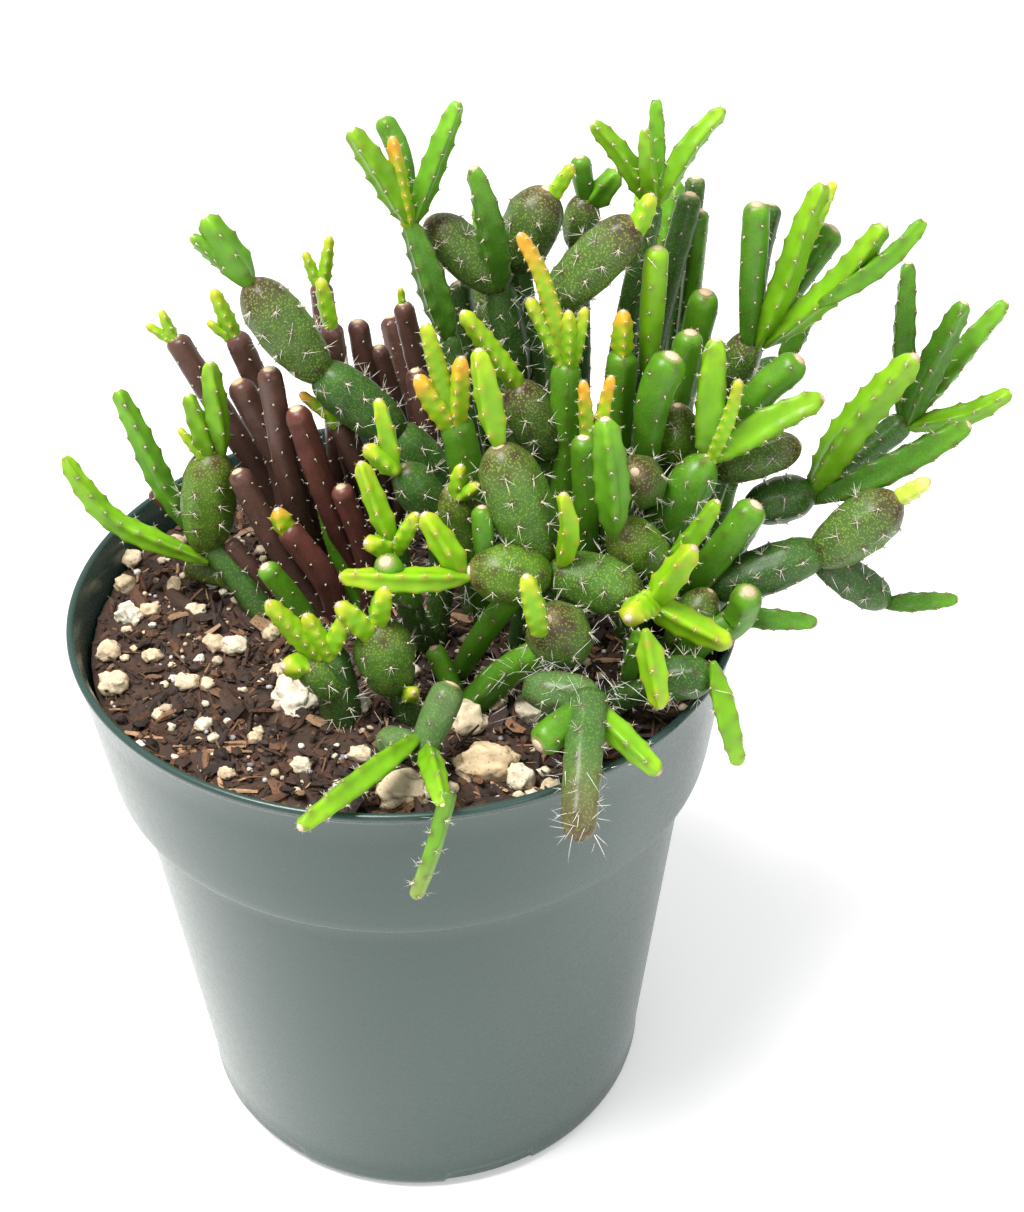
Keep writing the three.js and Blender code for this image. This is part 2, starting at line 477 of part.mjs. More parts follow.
// The pot is one moulding: tapered wall, stepped collar, lip, floor with foot ring and centre boss.
function makePot() {
  const inner = (height) => wallRadius(height) - pot.wall;
  const footOuter = pot.baseRadius - foot.bevel;
  const footInner = footOuter - foot.width;
  const lipBottom = pot.height - pot.lipHeight;
  const body = latheSolid([
    [0, 0],
    [foot.bossRadius, 0],
    [foot.bossRadius + foot.slope, foot.recess],
    [footInner, foot.recess],
    [footInner + foot.slope, 0],
    [footOuter, 0],
    [wallRadius(foot.cornerHeight), foot.cornerHeight],
    [pot.bodyTopRadius, pot.collarBottom - step.outside],
    [pot.collarBottomRadius, pot.collarBottom],
    [wallRadius(lipBottom) - pot.lipReach, lipBottom],
    [pot.rimRadius, pot.height],
    [inner(pot.height), pot.height],
    [inner(pot.collarBottom), pot.collarBottom],
    [pot.bodyTopRadius - pot.wall, pot.collarBottom - step.inside],
    [inner(foot.floorTop) - foot.bevel, foot.floorTop],
    [0, foot.floorTop],
  ], pot.sides);
  const slots = [];
  for (let i = 0; i < drain.count; i += 1) {
    const slot = new THREE.BoxGeometry(drain.depth, drain.width, 2 * drain.height);
    slot.translate(pot.baseRadius + drain.depth / 2 - drain.bite, 0, 0);
    slot.rotateZ(-Math.PI / 2 + drain.turn + (2 * Math.PI * i) / drain.count);
    slots.push(toSolid(slot));
  }
  return body.subtract(joinAll(slots));
}

// Space kept clear around the rim, so that joints leaning over it do not touch it.
function makeRimClearance() {
  const outside = pot.rimRadius + clearance;
  const inside = pot.rimRadius - pot.wall - clearance - rimGuard.width;
  const top = pot.height + clearance;
  return latheSolid([
    [inside, mix.top],
    [outside - rimGuard.width, mix.top - rimGuard.depth],
    [outside, top - pot.lipHeight],
    [outside, top],
    [inside, top],
    [inside, mix.top],
  ], pot.sides);
}

// The mix fills the pot from its floor up, with the same number of sides as the wall around it.
function makeMix() {
  const edge = (height) => wallRadius(height) - pot.wall - clearance;
  const bottom = foot.floorTop + clearance;
  const shoulder = mix.top - mix.edgeDrop;
  const below = pot.collarBottom - mix.stepBelow;
  const above = pot.collarBottom + mix.stepAbove;
  return latheSolid([
    [0, bottom],
    [edge(foot.cornerHeight) - foot.bevel - mix.stepGap, bottom],
    [edge(below) - mix.stepGap, below],
    [edge(above) - mix.stepGap, above],
    [edge(shoulder) - mix.edgeGap, shoulder],
    [edge(mix.top) - mix.edgeWidth, mix.top],
    [0, mix.top],
  ], pot.sides);
}

// A faceted lump: an ellipsoid with a gentle wave around it, lying partly in the mix.
function makeChunk({ size, at, turn }, grow) {
  const ball = new THREE.SphereGeometry(1, chunkShape.sides, chunkShape.rings).rotateX(Math.PI / 2);
  const position = ball.attributes.position;
  const [length, breadth, height] = size.map((radius) => radius + grow);
  for (let i = 0; i < position.count; i += 1) {
    const spot = new THREE.Vector3().fromBufferAttribute(position, i);
    const ripple = Math.abs(Math.sin(3 * spot.x + 2 * spot.z + turn));
    const wave = 1 - chunkShape.wave * ripple * (1 - spot.z ** 2);
    position.setXYZ(i, spot.x * length * wave, spot.y * breadth * wave, spot.z * height);
  }
  ball.rotateZ(turn);
  ball.translate(at[0], at[1], mix.top + size[2] * (1 - 2 * chunkShape.sink));
  return toSolid(ball);
}

const plant = new THREE.Group();

function addPiece(name, solid, finish) {
  const material = new THREE.MeshStandardMaterial({ ...finishes[finish], metalness: 0 });
  const mesh = new THREE.Mesh(toGeometry(solid), material);
  mesh.name = name;
  plant.add(mesh);
}

// Stems and chunks are made in order, each cut back to stay clear of the rim and of earlier pieces.
const grownPieces = [makeRimClearance()];

function addClearOfOthers(name, solid, grown, finish) {
  const clear = cutBackFrom(grownPieces, solid);
  addPiece(name, biggestBody(clear), finish);
  grownPieces.push(grown);
}

for (const [name, { finish, joints }] of Object.entries(stems)) {
  addClearOfOthers(name, stemSolid(joints, 0), stemSolid(joints, clearance), finish);
}
for (const [name, chunk] of Object.entries(chunks)) {
  addClearOfOthers(name, makeChunk(chunk, 0), makeChunk(chunk, clearance), chunk.finish);
}
const rooted = grownPieces.slice(1);
addPiece('potting_mix', biggestBody(cutBackFrom(rooted, makeMix())), 'mix');
addPiece('nursery_pot', makePot(), 'pot');

export default plant;
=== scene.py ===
import bmesh
import bpy
import math
import random
import numpy as np
from mathutils import Matrix, Vector, noise


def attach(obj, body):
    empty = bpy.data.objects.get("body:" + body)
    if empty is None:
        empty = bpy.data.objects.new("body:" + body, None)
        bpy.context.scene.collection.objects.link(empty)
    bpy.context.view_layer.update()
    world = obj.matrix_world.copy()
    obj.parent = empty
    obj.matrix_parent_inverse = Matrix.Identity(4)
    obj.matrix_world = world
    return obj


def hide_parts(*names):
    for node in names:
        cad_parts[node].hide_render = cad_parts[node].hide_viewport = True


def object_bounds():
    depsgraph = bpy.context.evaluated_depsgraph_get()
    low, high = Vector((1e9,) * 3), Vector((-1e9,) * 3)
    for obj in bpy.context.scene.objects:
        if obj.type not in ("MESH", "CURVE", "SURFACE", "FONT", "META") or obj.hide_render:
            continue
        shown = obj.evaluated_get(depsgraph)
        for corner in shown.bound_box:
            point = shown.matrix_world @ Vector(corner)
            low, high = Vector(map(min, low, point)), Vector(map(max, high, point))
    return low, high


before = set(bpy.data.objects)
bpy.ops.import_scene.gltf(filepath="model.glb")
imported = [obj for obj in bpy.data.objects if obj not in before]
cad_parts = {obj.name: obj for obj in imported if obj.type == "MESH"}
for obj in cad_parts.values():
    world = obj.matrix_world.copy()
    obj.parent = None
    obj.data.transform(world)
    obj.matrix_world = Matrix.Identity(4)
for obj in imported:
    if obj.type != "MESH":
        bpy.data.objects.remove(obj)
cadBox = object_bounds()

mm = 0.001
up = Vector((0, 0, 1))


# Stem systems in millimetres: slot, then joints as form, tint, width, start, ..., tip in growing order.
growth = {
    "centre_star_branch": ("bright_stem", [
        ("stalk", "dark", 5, (21, -14, 90), (22, -16, 103), (24, -17, 114.5)),
        ("barrel", "speckled", 9, (23.5, -17, 114.8), (36, -19, 111.5)),
        ("wing", "lime", 5, (37, -20, 111.5), (42.5, -22, 122.5)),
        ("wing", "lime", 5, (37, -20, 111), (43, -22, 108.5), (48.5, -24, 106.5)),
        ("sprout", "young", 5, (36.5, -20, 111.5), (33, -28, 114.5)),
        ("wing", "lime", 3.6, (24, -18.5, 117.5), (25, -19.5, 123.5), (24, -19.5, 130)),
    ]),
    "centre_barrel_stem": ("green_stem", [
        ("stalk", "dark", 5, (17, -10, 90), (19, -13, 104), (20.5, -15, 117)),
        ("barrel", "speckled", 9.8, (20.5, -15, 117), (15, -14, 134.5)),
        ("wing", "lime", 4.4, (15, -13.5, 134.5), (12.5, -13, 149)),
    ]),
    "front_centre_branch": ("green_stem", [
        ("club", "green", 4.2, (7, -14, 90), (12, -16, 102), (18, -18, 113)),
        ("barrel", "olive", 9.4, (20.5, -18.5, 115.5), (10.5, -20.5, 117.5)),
        ("wing", "lime", 4.2, (9.5, -21.5, 117), (1, -22.5, 117.5), (-7.5, -23, 118.5)),
        ("wing", "lime", 4.4, (9.5, -20, 117.5), (4.5, -19, 126.5)),
        ("club", "green", 3.6, (13, -18, 118), (12.7, -16.5, 126)),
    ]),
    "front_round_stem": ("green_stem", [
        ("stalk", "green", 5.8, (9, -20, 90), (16, -23, 101), (24, -25.5, 108.5)),
        ("barrel", "plum", 9.4, (25, -25, 107.5), (21.5, -30, 116)),
        ("sprout", "young", 3.8, (20.5, -32, 116.5), (18.7, -32, 125)),
        ("club", "green", 3.6, (9.5, -20.2, 91), (5, -18, 102)),
    ]),
    "front_spiny_branch": ("green_stem", [
        ("stalk", "dark", 4.6, (22, -24, 90), (23, -29, 99), (25, -33, 104)),
        ("barrel", "grey", 6.4, (20, -33, 106), (29, -35.5, 106.5)),
        ("club", "green", 5.2, (27.5, -37, 106.5), (20, -44, 105)),
        ("stalk", "shrivelled", 6.4, (27.3, -38, 107), (26.4, -46, 104.8), (25.4, -56, 98.8)),
        ("wing", "bright", 4.2, (28, -38, 106.5), (36.7, -47, 102.5)),
    ]),
    "front_right_branch": ("green_stem", [
        ("stalk", "dark", 5.2, (27, -22, 90), (33, -25, 98), (38, -28, 103.5)),
        ("barrel", "dark", 6.6, (37.5, -28, 103.8), (46, -29, 105)),
        ("wing", "bright", 4.4, (45.5, -30.5, 107), (47.5, -33, 100), (49.5, -34, 92.5)),
        ("wing", "green", 3.8, (33.5, -24, 99), (34.5, -29, 111), (35.3, -34, 115.5)),
        ("wing", "lime", 4.2, (35.3, -34, 115.5), (37.3, -37.5, 106)),
    ]),
    "right_rim_stem": ("green_stem", [
        ("club", "green", 5.4, (38, -18, 90), (44, -17, 101), (50, -16, 105), (51.3, -18, 112)),
        ("wing", "green", 4.4, (50.5, -14.5, 104.5), (62.5, -15, 103.8)),
        ("barrel", "speckled", 6.8, (42, -14.5, 100), (46.5, -13, 108.5)),
    ]),
    "right_long_branch": ("green_stem", [
        ("stalk", "dark", 5, (38, -11, 90), (43, -11, 99), (49, -9, 106)),
        ("barrel", "dark", 7.6, (48.5, -9, 106), (64, -7, 111.5)),
        ("barrel", "plum", 9, (64, -7, 111), (74.3, -6.5, 120.5)),
        ("sprout", "pale", 3.2, (74.5, -6.5, 120.5), (78.2, -7, 123.8)),
        ("barrel", "dark", 6.2, (64.5, -6, 108.5), (75, -6, 100.5)),
        ("wing", "green", 4.2, (75, -6, 100.5), (85.5, -7, 102)),
    ]),
    "front_left_stem": ("bright_stem", [
        ("barrel", "dark", 6.4, (-8.3, -24, 90), (-9.5, -24, 107)),
        ("barrel", "speckled", 5.4, (-9.5, -25.5, 100.5), (-13.5, -26, 106)),
        ("sprout", "lime", 3.6, (-11.5, -25, 106.5), (-17.5, -26, 116.5)),
        ("sprout", "young", 4.2, (-13.5, -26, 105), (-16, -28, 106.5)),
        ("sprout", "young", 3.4, (-10, -25, 106.5), (-12.5, -25, 113.5)),
        ("sprout", "young", 3.6, (-9.5, -24.5, 106.5), (-6.5, -24.5, 113)),
    ]),
    "front_left_barrel_stem": ("bright_stem", [
        ("stalk", "dark", 5.2, (2.5, -24, 90), (0, -24, 101.5)),
        ("barrel", "speckled", 9, (-0.8, -24, 100.5), (-2.7, -24, 111.5)),
        ("sprout", "young", 4, (-4, -25, 110.5), (-7.7, -26, 116)),
        ("sprout", "young", 3.6, (-2.3, -24, 111.5), (-1, -24, 117.5)),
        ("sprout", "young", 3, (1.5, -25, 98.5), (2.7, -29, 102.3)),
    ]),
    "rim_cutting": ("green_stem", [
        ("club", "grey", 5, (5, -36, 98), (-2.5, -31.5, 95.5)),
        ("club", "grey", 5.6, (4, -38, 98.5), (8.4, -32, 106.5)),
        ("wing", "bright", 4, (4.8, -38, 99.5), (6, -46, 102.4), (7.6, -54, 103.2)),
        ("stalk", "dry", 2.7, (7.9, -52.8, 102.9), (6, -57, 98), (3.5, -57.5, 90)),
    ]),
    "rim_cutting_arm": ("bright_stem", [
        ("wing", "bright", 4.4, (3, -38, 101), (-3, -47, 102.5), (-11, -58, 103.4)),
    ]),
    "lime_fork": ("bright_stem", [
        ("stalk", "dark", 4.6, (4, -6, 90), (6, -5.5, 105), (5.5, -7, 118)),
        ("barrel", "dark", 7, (5.8, -7.3, 118), (1, -8, 127.5)),
        ("wing", "lime", 3.6, (0, -8.5, 127.5), (-1.8, -8.5, 138.8)),
        ("sprout", "young", 3.4, (-0.5, -9, 128), (-4, -10, 132)),
        ("stalk", "dark", 4.6, (4, -6, 90), (1.5, -11.5, 104), (0, -15, 119)),
        ("wing", "lime", 3.8, (-0.5, -15, 119), (-4.3, -14.5, 132.2)),
        ("sprout", "young", 3.6, (-1.5, -16, 118.5), (-4, -18, 121)),
        ("sprout", "young", 3.2, (0.5, -15.5, 118.5), (3.5, -16, 124.5)),
        ("club", "green", 5, (2, -14, 108), (0.5, -19, 114), (-1, -22, 120.5)),
    ]),
    "front_left_club": ("green_stem", [
        ("club", "green", 4.1, (-12, -7, 90), (-15.5, -8, 101), (-20.3, -9, 110.7)),
    ]),
    "orange_trio_stem": ("green_stem", [
        ("club", "green", 5.8, (13, -3, 90), (11.5, -4, 115), (8.7, -4, 133.5)),
        ("sprout", "lime", 3.6, (8.3, -4, 133), (5, -4, 148.3)),
        ("sprout", "orange", 4, (8, -4.5, 132.5), (3.5, -5, 140.5)),
        ("sprout", "orange", 3.4, (9, -4.5, 132.5), (10, -5, 143.5)),
        ("barrel", "olive", 6.8, (10.5, -8, 112), (8, -9, 124.3)),
        ("sprout", "young", 2.8, (8.8, -9.5, 123.5), (9.7, -10, 128.8)),
        ("sprout", "young", 2.6, (9.3, -10, 123.5), (12.3, -11, 126)),
    ]),
    "spiny_barrel_chain": ("green_stem", [
        ("stalk", "dark", 5.5, (11, 4, 90), (10, 4, 104), (7, 4, 116)),
        ("barrel", "dark", 7.4, (7, 4, 115.5), (-1, 4, 127)),
        ("barrel", "dark", 8.2, (-1, 4, 126.5), (-12, 5, 136.5)),
        ("barrel", "plum", 8.6, (-12, 5, 136.5), (-20.5, 5, 150.5)),
        ("wing", "leaf", 5.2, (-20.5, 5, 150.5), (-25.5, 4, 161)),
        ("sprout", "leaf", 2.8, (-23, 4.5, 153), (-27.5, 3, 158.5)),
    ]),
    "dark_barrel_stem": ("green_stem", [
        ("stalk", "dark", 5, (21, 3, 90), (22, 3, 108), (22, 3, 124)),
        ("barrel", "plum", 7.8, (22, 3, 123.5), (17.5, 3, 135)),
        ("sprout", "lime", 3.6, (17.5, 3, 135), (10, 2, 147)),
    ]),
    "yellow_fan_stem": ("green_stem", [
        ("club", "green", 5.2, (27, -3, 90), (25, 2, 115), (25, 4, 138)),
        ("sprout", "young", 3.2, (24.5, 4, 137.5), (22, 4, 143), (19.5, 4, 148)),
        ("sprout", "orange", 3.2, (25, 4, 138), (21.5, 4, 151), (18.2, 4, 158)),
        ("sprout", "young", 2.8, (25.5, 3.5, 137.5), (25.2, 3, 146.5)),
        ("sprout", "young", 2.6, (26, 4, 137.5), (27.7, 4, 146.5)),
        ("club", "green", 4.4, (27, -3, 90), (28, -6.5, 112), (27.3, -6, 131)),
        ("sprout", "orange", 2.6, (28.3, -5, 127), (27.2, -4, 139)),
        ("sprout", "orange", 2.6, (28.8, -5, 127), (31.3, -3.5, 139.5)),
    ]),
    "winged_club_stem": ("green_stem", [
        ("stalk", "dark", 4.6, (35, -8, 90), (37.5, -9, 104), (38, -11, 113)),
        ("barrel", "olive", 8.2, (38, -11, 112.5), (31.8, -14.5, 120.5)),
        ("wing", "leaf", 5.6, (31.5, -15, 120.5), (31, -15, 129), (29.8, -14.5, 139)),
        ("wing", "bright", 3.8, (40, -12, 113), (43.5, -12.5, 118), (46.5, -13, 124.3)),
    ]),
    "right_mid_barrel_stem": ("bright_stem", [
        ("stalk", "dark", 5, (34, -4, 90), (36, -5, 102), (38, -5, 112)),
        ("barrel", "green", 7.6, (38, -5, 111.5), (46, -3.5, 126)),
        ("wing", "bright", 6, (46, -2, 125), (46, -1, 134), (46.3, 0, 143.5)),
        ("wing", "bright", 6, (47, -3, 125.5), (54, -3, 131), (62, -3, 135.5)),
        ("sprout", "young", 2.6, (46.5, -3.5, 126), (48.5, -4, 133), (49.5, -4, 139)),
    ]),
    "left_fat_stem": ("bright_stem", [
        ("stalk", "dark", 5.4, (-21, 1, 90), (-27, 5, 98), (-32, 8, 104)),
        ("barrel", "olive", 9, (-32, 8, 104), (-29.5, 9, 120)),
        ("wing", "bright", 4.2, (-28, 9, 120), (-28.2, 9, 135.5)),
        ("wing", "bright", 3.8, (-30, 8.5, 119.5), (-32, 8, 130.5)),
        ("sprout", "young", 1.8, (-31, 8, 119.5), (-34, 8, 124.5)),
    ]),
    "left_low_arm": ("bright_stem", [
        ("wing", "bright", 4.2, (-33, 6, 101.5), (-45, 7.5, 107), (-50, 8.5, 113), (-53, 10, 118.5)),
    ]),
    "left_high_arm": ("bright_stem", [
        ("wing", "leaf", 4.4, (-35.5, 12, 103.5), (-39, 12, 113), (-41.5, 13, 121), (-44, 14, 128)),
    ]),
    "top_left_fan": ("green_stem", [
        ("stalk", "dark", 4.6, (14, 14, 90), (11, 12, 115), (7.5, 13, 138)),
        ("wing", "green", 5.6, (7.5, 13, 137), (5, 13, 147), (2.3, 14, 155.5)),
        ("wing", "bright", 4.6, (2.3, 14, 155.5), (-1, 12, 163), (-5, 10, 171)),
        ("wing", "leaf", 4, (3, 14.5, 155.5), (6.5, 17, 164), (9.8, 19, 171.5)),
        ("club", "green", 3.8, (2.5, 15.5, 155), (1, 20, 163), (-1.5, 22, 168)),
        ("sprout", "orange", 2.6, (2, 13.5, 156), (0.5, 12, 169)),
        ("club", "dark", 4.2, (14, 14, 90), (12, 20, 115), (9, 22, 142)),
    ]),
    "top_left_spiny_stem": ("green_stem", [
        ("stalk", "dark", 5.2, (18, 13, 90), (18.5, 15, 110), (18, 16, 129)),
        ("barrel", "dark", 5.6, (18, 16, 128.5), (15, 17, 145)),
        ("barrel", "plum", 8, (15, 17, 144.5), (4.5, 19, 153.5)),
        ("wing", "green", 5.2, (15.3, 16, 143.5), (14, 12.5, 156), (11.8, 12, 164.5)),
    ]),
    "top_round_stem": ("green_stem", [
        ("stalk", "dark", 5, (22, 19, 90), (21, 20, 120), (18, 21, 147)),
        ("barrel", "plum", 9, (18, 21, 146), (22.5, 21, 157.5)),
        ("sprout", "young", 2.8, (23.5, 21, 156.5), (26.3, 21, 161)),
    ]),
    "top_big_barrel_stem": ("green_stem", [
        ("stalk", "dark", 5, (25, 9, 90), (25, 9, 120), (23, 9, 144)),
        ("barrel", "plum", 8, (23.5, 9, 145), (35, 8, 158)),
        ("sprout", "young", 3.4, (35, 8, 157), (37, 8, 162)),
    ]),
    "top_fan_stem": ("bright_stem", [
        ("stalk", "dark", 4.8, (31, 14, 90), (33, 15, 125), (37.5, 15, 158)),
        ("wing", "bright", 3.6, (37, 15, 158), (33, 14, 165), (28.5, 13, 170.5)),
        ("wing", "bright", 3.2, (37.5, 14.5, 158), (36.5, 12.5, 164), (35.8, 12, 170)),
        ("wing", "leaf", 3.6, (38, 15.5, 158), (38, 17, 166), (37.7, 18, 172)),
        ("wing", "bright", 4, (38, 15, 157.5), (42.5, 17, 165), (47.5, 18, 170.5)),
    ]),
    "top_back_stem": ("green_stem", [
        ("stalk", "dark", 4.4, (27, 26, 90), (28, 27, 120), (27.5, 28, 146)),
        ("barrel", "plum", 6, (27.5, 28, 146), (28.5, 28, 153.5)),
        ("club", "green", 3.6, (28.5, 28, 152.5), (27.5, 28, 159.5)),
        ("wing", "leaf", 4.4, (29.5, 28, 152), (33.5, 27, 157.5)),
    ]),
    "bright_club_pair": ("green_stem", [
        ("club", "green", 5.4, (34.5, 7.5, 90), (32.5, 5.5, 115), (33.3, 5, 139)),
        ("sprout", "orange", 3.4, (33.3, 5, 138.5), (33.2, 5, 145.5)),
        ("stalk", "dark", 4.4, (34.5, 7.5, 90), (37.5, 9, 112), (37.5, 8, 134)),
        ("club", "bright", 4.2, (37.5, 8, 134), (38, 8, 154)),
    ]),
    "broad_club_stem": ("green_stem", [
        ("stalk", "dark", 4.6, (36, 0, 90), (36.5, 0, 108), (37, -1, 126)),
        ("club", "green", 6, (37, -1, 125), (37.5, -1.5, 134), (40, -2, 142)),
        ("barrel", "plum", 7.8, (37, -2, 119), (34.5, -11, 128)),
    ]),
    "tall_green_trio": ("green_stem", [
        ("club", "dark", 4.4, (41, 19, 90), (38.5, 20, 125), (43.8, 21, 156.5)),
        ("club", "dark", 3.8, (41, 19, 90), (43, 25, 125), (45, 26, 157)),
        ("club", "green", 3.6, (41, 19, 90), (44, 22, 125), (45.5, 23, 153)),
        ("club", "green", 5.4, (41, 19, 90), (42.5, 15, 120), (46, 13, 144.5)),
    ]),
    "right_fan": ("green_stem", [
        ("stalk", "dark", 4.6, (45, 10, 90), (50, 11, 113), (51, 11, 131)),
        ("barrel", "plum", 6, (51, 11, 130.5), (52.5, 10, 139)),
        ("club", "green", 4.4, (52.3, 9.5, 138.5), (52, 9, 150), (51.7, 8, 160.5)),
        ("club", "dark", 3.6, (53, 12, 137), (54, 16, 148), (55.5, 18, 156)),
        ("wing", "bright", 4.6, (54, 9, 138), (57, 8, 149), (59, 8, 158), (61, 8, 163.5)),
        ("sprout", "young", 2.4, (59, 9.5, 152), (63.3, 13, 161.5)),
        ("club", "green", 5.2, (55, 12, 137.5), (59, 13, 146), (64, 13, 154.5)),
        ("wing", "bright", 4.8, (55.5, 8.5, 138.5), (64, 6, 149), (69.5, 5, 158.5)),
        ("wing", "leaf", 3.8, (62, 5, 146.5), (70, 3, 154), (74.5, 3, 160)),
    ]),
    "mid_dark_club": ("green_stem", [
        ("club", "green", 5.2, (42, 6, 90), (41, 6.5, 120), (43.3, 6, 141.5)),
        ("barrel", "olive", 6.6, (42, 3, 119), (41.5, 2, 131.5)),
    ]),
    "right_back_club": ("green_stem", [
        ("club", "green", 5.6, (46, 4, 90), (49, 5, 112), (52, 4, 129), (59.5, 4, 138)),
    ]),
    "right_dark_barrel_stem": ("green_stem", [
        ("stalk", "dark", 5, (43, -3, 90), (49, -2, 104), (54.5, 0, 114.5)),
        ("barrel", "dark", 7.6, (54.5, 0.5, 114.5), (63.5, 1.5, 116.5)),
        ("wing", "bright", 6.2, (63, 2, 116), (67, 1, 127), (75, -1, 141)),
        ("wing", "green", 6, (64, 1, 115.5), (74, 0, 121.5), (84.5, -1, 129.5)),
    ]),
    "right_far_fan": ("green_stem", [
        ("club", "dark", 5, (64, 8, 113), (71, 9, 118), (78, 10, 124)),
        ("wing", "green", 4.6, (77.5, 10.5, 123.5), (76.5, 13, 136), (76, 15, 148)),
        ("wing", "green", 4.8, (78, 9.5, 123.5), (80, 8.5, 134), (83.3, 8, 145)),
        ("wing", "leaf", 4.8, (78.5, 10.5, 124), (85, 12, 134), (91, 13, 142.5)),
        ("wing", "bright", 4, (78.5, 9, 123.5), (86, 7, 126.5), (92, 6, 131)),
    ]),
    "right_plum_stem": ("green_stem", [
        ("stalk", "dark", 4.8, (41, -3, 90), (45, 1, 106), (49, 2, 121)),
        ("barrel", "plum", 6.8, (49, 2, 120.5), (60.5, 2, 124.5)),
        ("club", "green", 5.6, (41, -3, 90), (45, -8, 106), (53, -8, 120.5)),
    ]),
    "purple_far_left": ("bright_stem", [
        ("club", "purple", 4.6, (-14, 15, 90), (-24, 16, 112), (-35, 18, 135)),
        ("sprout", "young", 2, (-35, 18, 134.5), (-36.5, 18, 139.5)),
        ("sprout", "young", 1.8, (-35, 18, 134), (-39, 18, 137)),
    ]),
    "purple_back_pair": ("bright_stem", [
        ("club", "purple", 4.6, (-13, 20, 90), (-19, 20, 112), (-26, 20, 134.5)),
        ("sprout", "young", 2.8, (-26, 20, 134), (-28.5, 20, 142)),
        ("sprout", "young", 2, (-26.5, 20, 133.5), (-30, 20, 136.5)),
        ("club", "purple", 4.2, (-13, 20, 90), (-11, 18.5, 118), (-12, 20, 143)),
        ("sprout", "young", 2, (-12.3, 20, 142), (-14, 20, 148)),
        ("sprout", "young", 2.2, (-11.7, 20, 142), (-10, 20, 150.5)),
    ]),
    "purple_mid_pair": ("purple_stem", [
        ("club", "purple", 5, (-13, 9, 90), (-18, 11.5, 112), (-25, 12, 130.5)),
        ("club", "purple", 4.4, (-13, 9, 90), (-17, 6, 112), (-19, 6, 136)),
    ]),
    "purple_centre_pair": ("purple_stem", [
        ("club", "wine", 4.6, (-6, 6, 90), (-11, 3.5, 112), (-15, 2, 131.5)),
        ("club", "purple", 4.4, (-6, 6, 90), (-4.5, 7, 110), (-9.5, 6, 127)),
        ("sprout", "young", 3.4, (-9.5, 6, 126), (-11.5, 5, 134)),
        ("sprout", "orange", 2.2, (-10.5, 5.5, 128), (-14.5, 4.5, 132.5)),
    ]),
    "purple_back_trio": ("purple_stem", [
        ("club", "purple", 4, (-4, 17.5, 90), (-5, 21, 114), (-7, 22, 135.5)),
        ("club", "purple", 3.6, (-4, 17.5, 90), (-1, 22, 112), (-4, 22, 131)),
        ("club", "purple", 4.2, (-4, 17.5, 90), (-8.5, 13, 116), (-10, 12, 140)),
        ("sprout", "young", 2.8, (-10, 12, 139.5), (-11, 12, 147.5)),
    ]),
    "purple_right_pair": ("purple_stem", [
        ("club", "purple", 3.8, (6, 18, 90), (4, 23, 114), (0, 25, 137)),
        ("sprout", "young", 1.4, (0, 25, 136.5), (-0.2, 25, 139.5)),
        ("club", "purple", 4, (6, 18, 90), (4.5, 16, 110), (2, 17, 129.5)),
    ]),
    "purple_front_pair": ("purple_stem", [
        ("club", "purple", 4.4, (-11, 0.5, 90), (-19, 2, 105), (-25, 3, 120)),
        ("club", "wine", 4.9, (-11, 0.5, 90), (-12, -0.5, 101), (-18, 0, 112)),
        ("sprout", "orange", 3.6, (-18, 0, 111.5), (-19, 0, 115)),
    ]),
    "purple_low_trio": ("purple_stem", [
        ("club", "olive", 4.6, (-19.5, 7, 91.5), (-29, 8.5, 96), (-36.5, 9.5, 97.5)),
        ("club", "purple", 4, (-19, 7, 90), (-19, 12, 106), (-21.5, 15, 119)),
        ("club", "purple", 3.6, (-19, 7, 90), (-24, 6, 98), (-28.5, 7, 104.5)),
    ]),
    "purple_behind_arms": ("purple_stem", [
        ("club", "purple", 3.2, (-27, 14, 90), (-34, 15.5, 101), (-42, 17, 107.5)),
    ]),
    "wine_and_slim_pair": ("purple_stem", [
        ("club", "wine", 4, (-6, 1.5, 90), (-6, 1, 105), (-9, 0, 119)),
        ("club", "green", 3.2, (-6, 1.5, 90), (-11, 4, 105), (-12.3, 4.5, 118)),
    ]),
    "back_left_club": ("purple_stem", [
        ("club", "purple", 4.4, (3, 28, 90), (0, 33, 112), (-3, 38, 128)),
        ("club", "green", 4.2, (3, 28, 90), (7, 35, 112), (8, 41, 132)),
    ]),
    "back_mid_barrel_stem": ("green_stem", [
        ("stalk", "dark", 5, (16, 30, 90), (16, 35, 112), (15, 38, 124)),
        ("barrel", "plum", 8, (15, 38, 123), (13, 41, 137)),
        ("wing", "bright", 4.6, (13, 41, 136.5), (12, 45, 149)),
    ]),
    "back_right_barrel_stem": ("green_stem", [
        ("stalk", "dark", 5, (34, 27, 90), (37, 33, 112), (38, 36, 124)),
        ("barrel", "green", 8, (38, 36, 123), (41, 40, 137)),
        ("wing", "leaf", 4.8, (41, 40, 136.5), (44, 44, 149)),
        ("wing", "bright", 4.4, (41.5, 40, 136.5), (38, 45, 147)),
    ]),
    "back_low_stem": ("green_stem", [
        ("stalk", "dark", 4.8, (25, 34, 90), (26, 40, 104), (27, 44, 112)),
        ("barrel", "olive", 7.6, (27, 44, 111.5), (27, 50, 122)),
        ("wing", "green", 4.6, (27, 50, 121.5), (28, 56, 131)),
    ]),
    "back_far_right_stem": ("green_stem", [
        ("stalk", "dark", 4.6, (43, 25, 90), (50, 29, 104), (55, 31, 114)),
        ("barrel", "dark", 7.2, (55, 31, 113.5), (62, 33, 122)),
        ("wing", "green", 4.8, (62, 33, 121.5), (67, 36, 133)),
    ]),
}

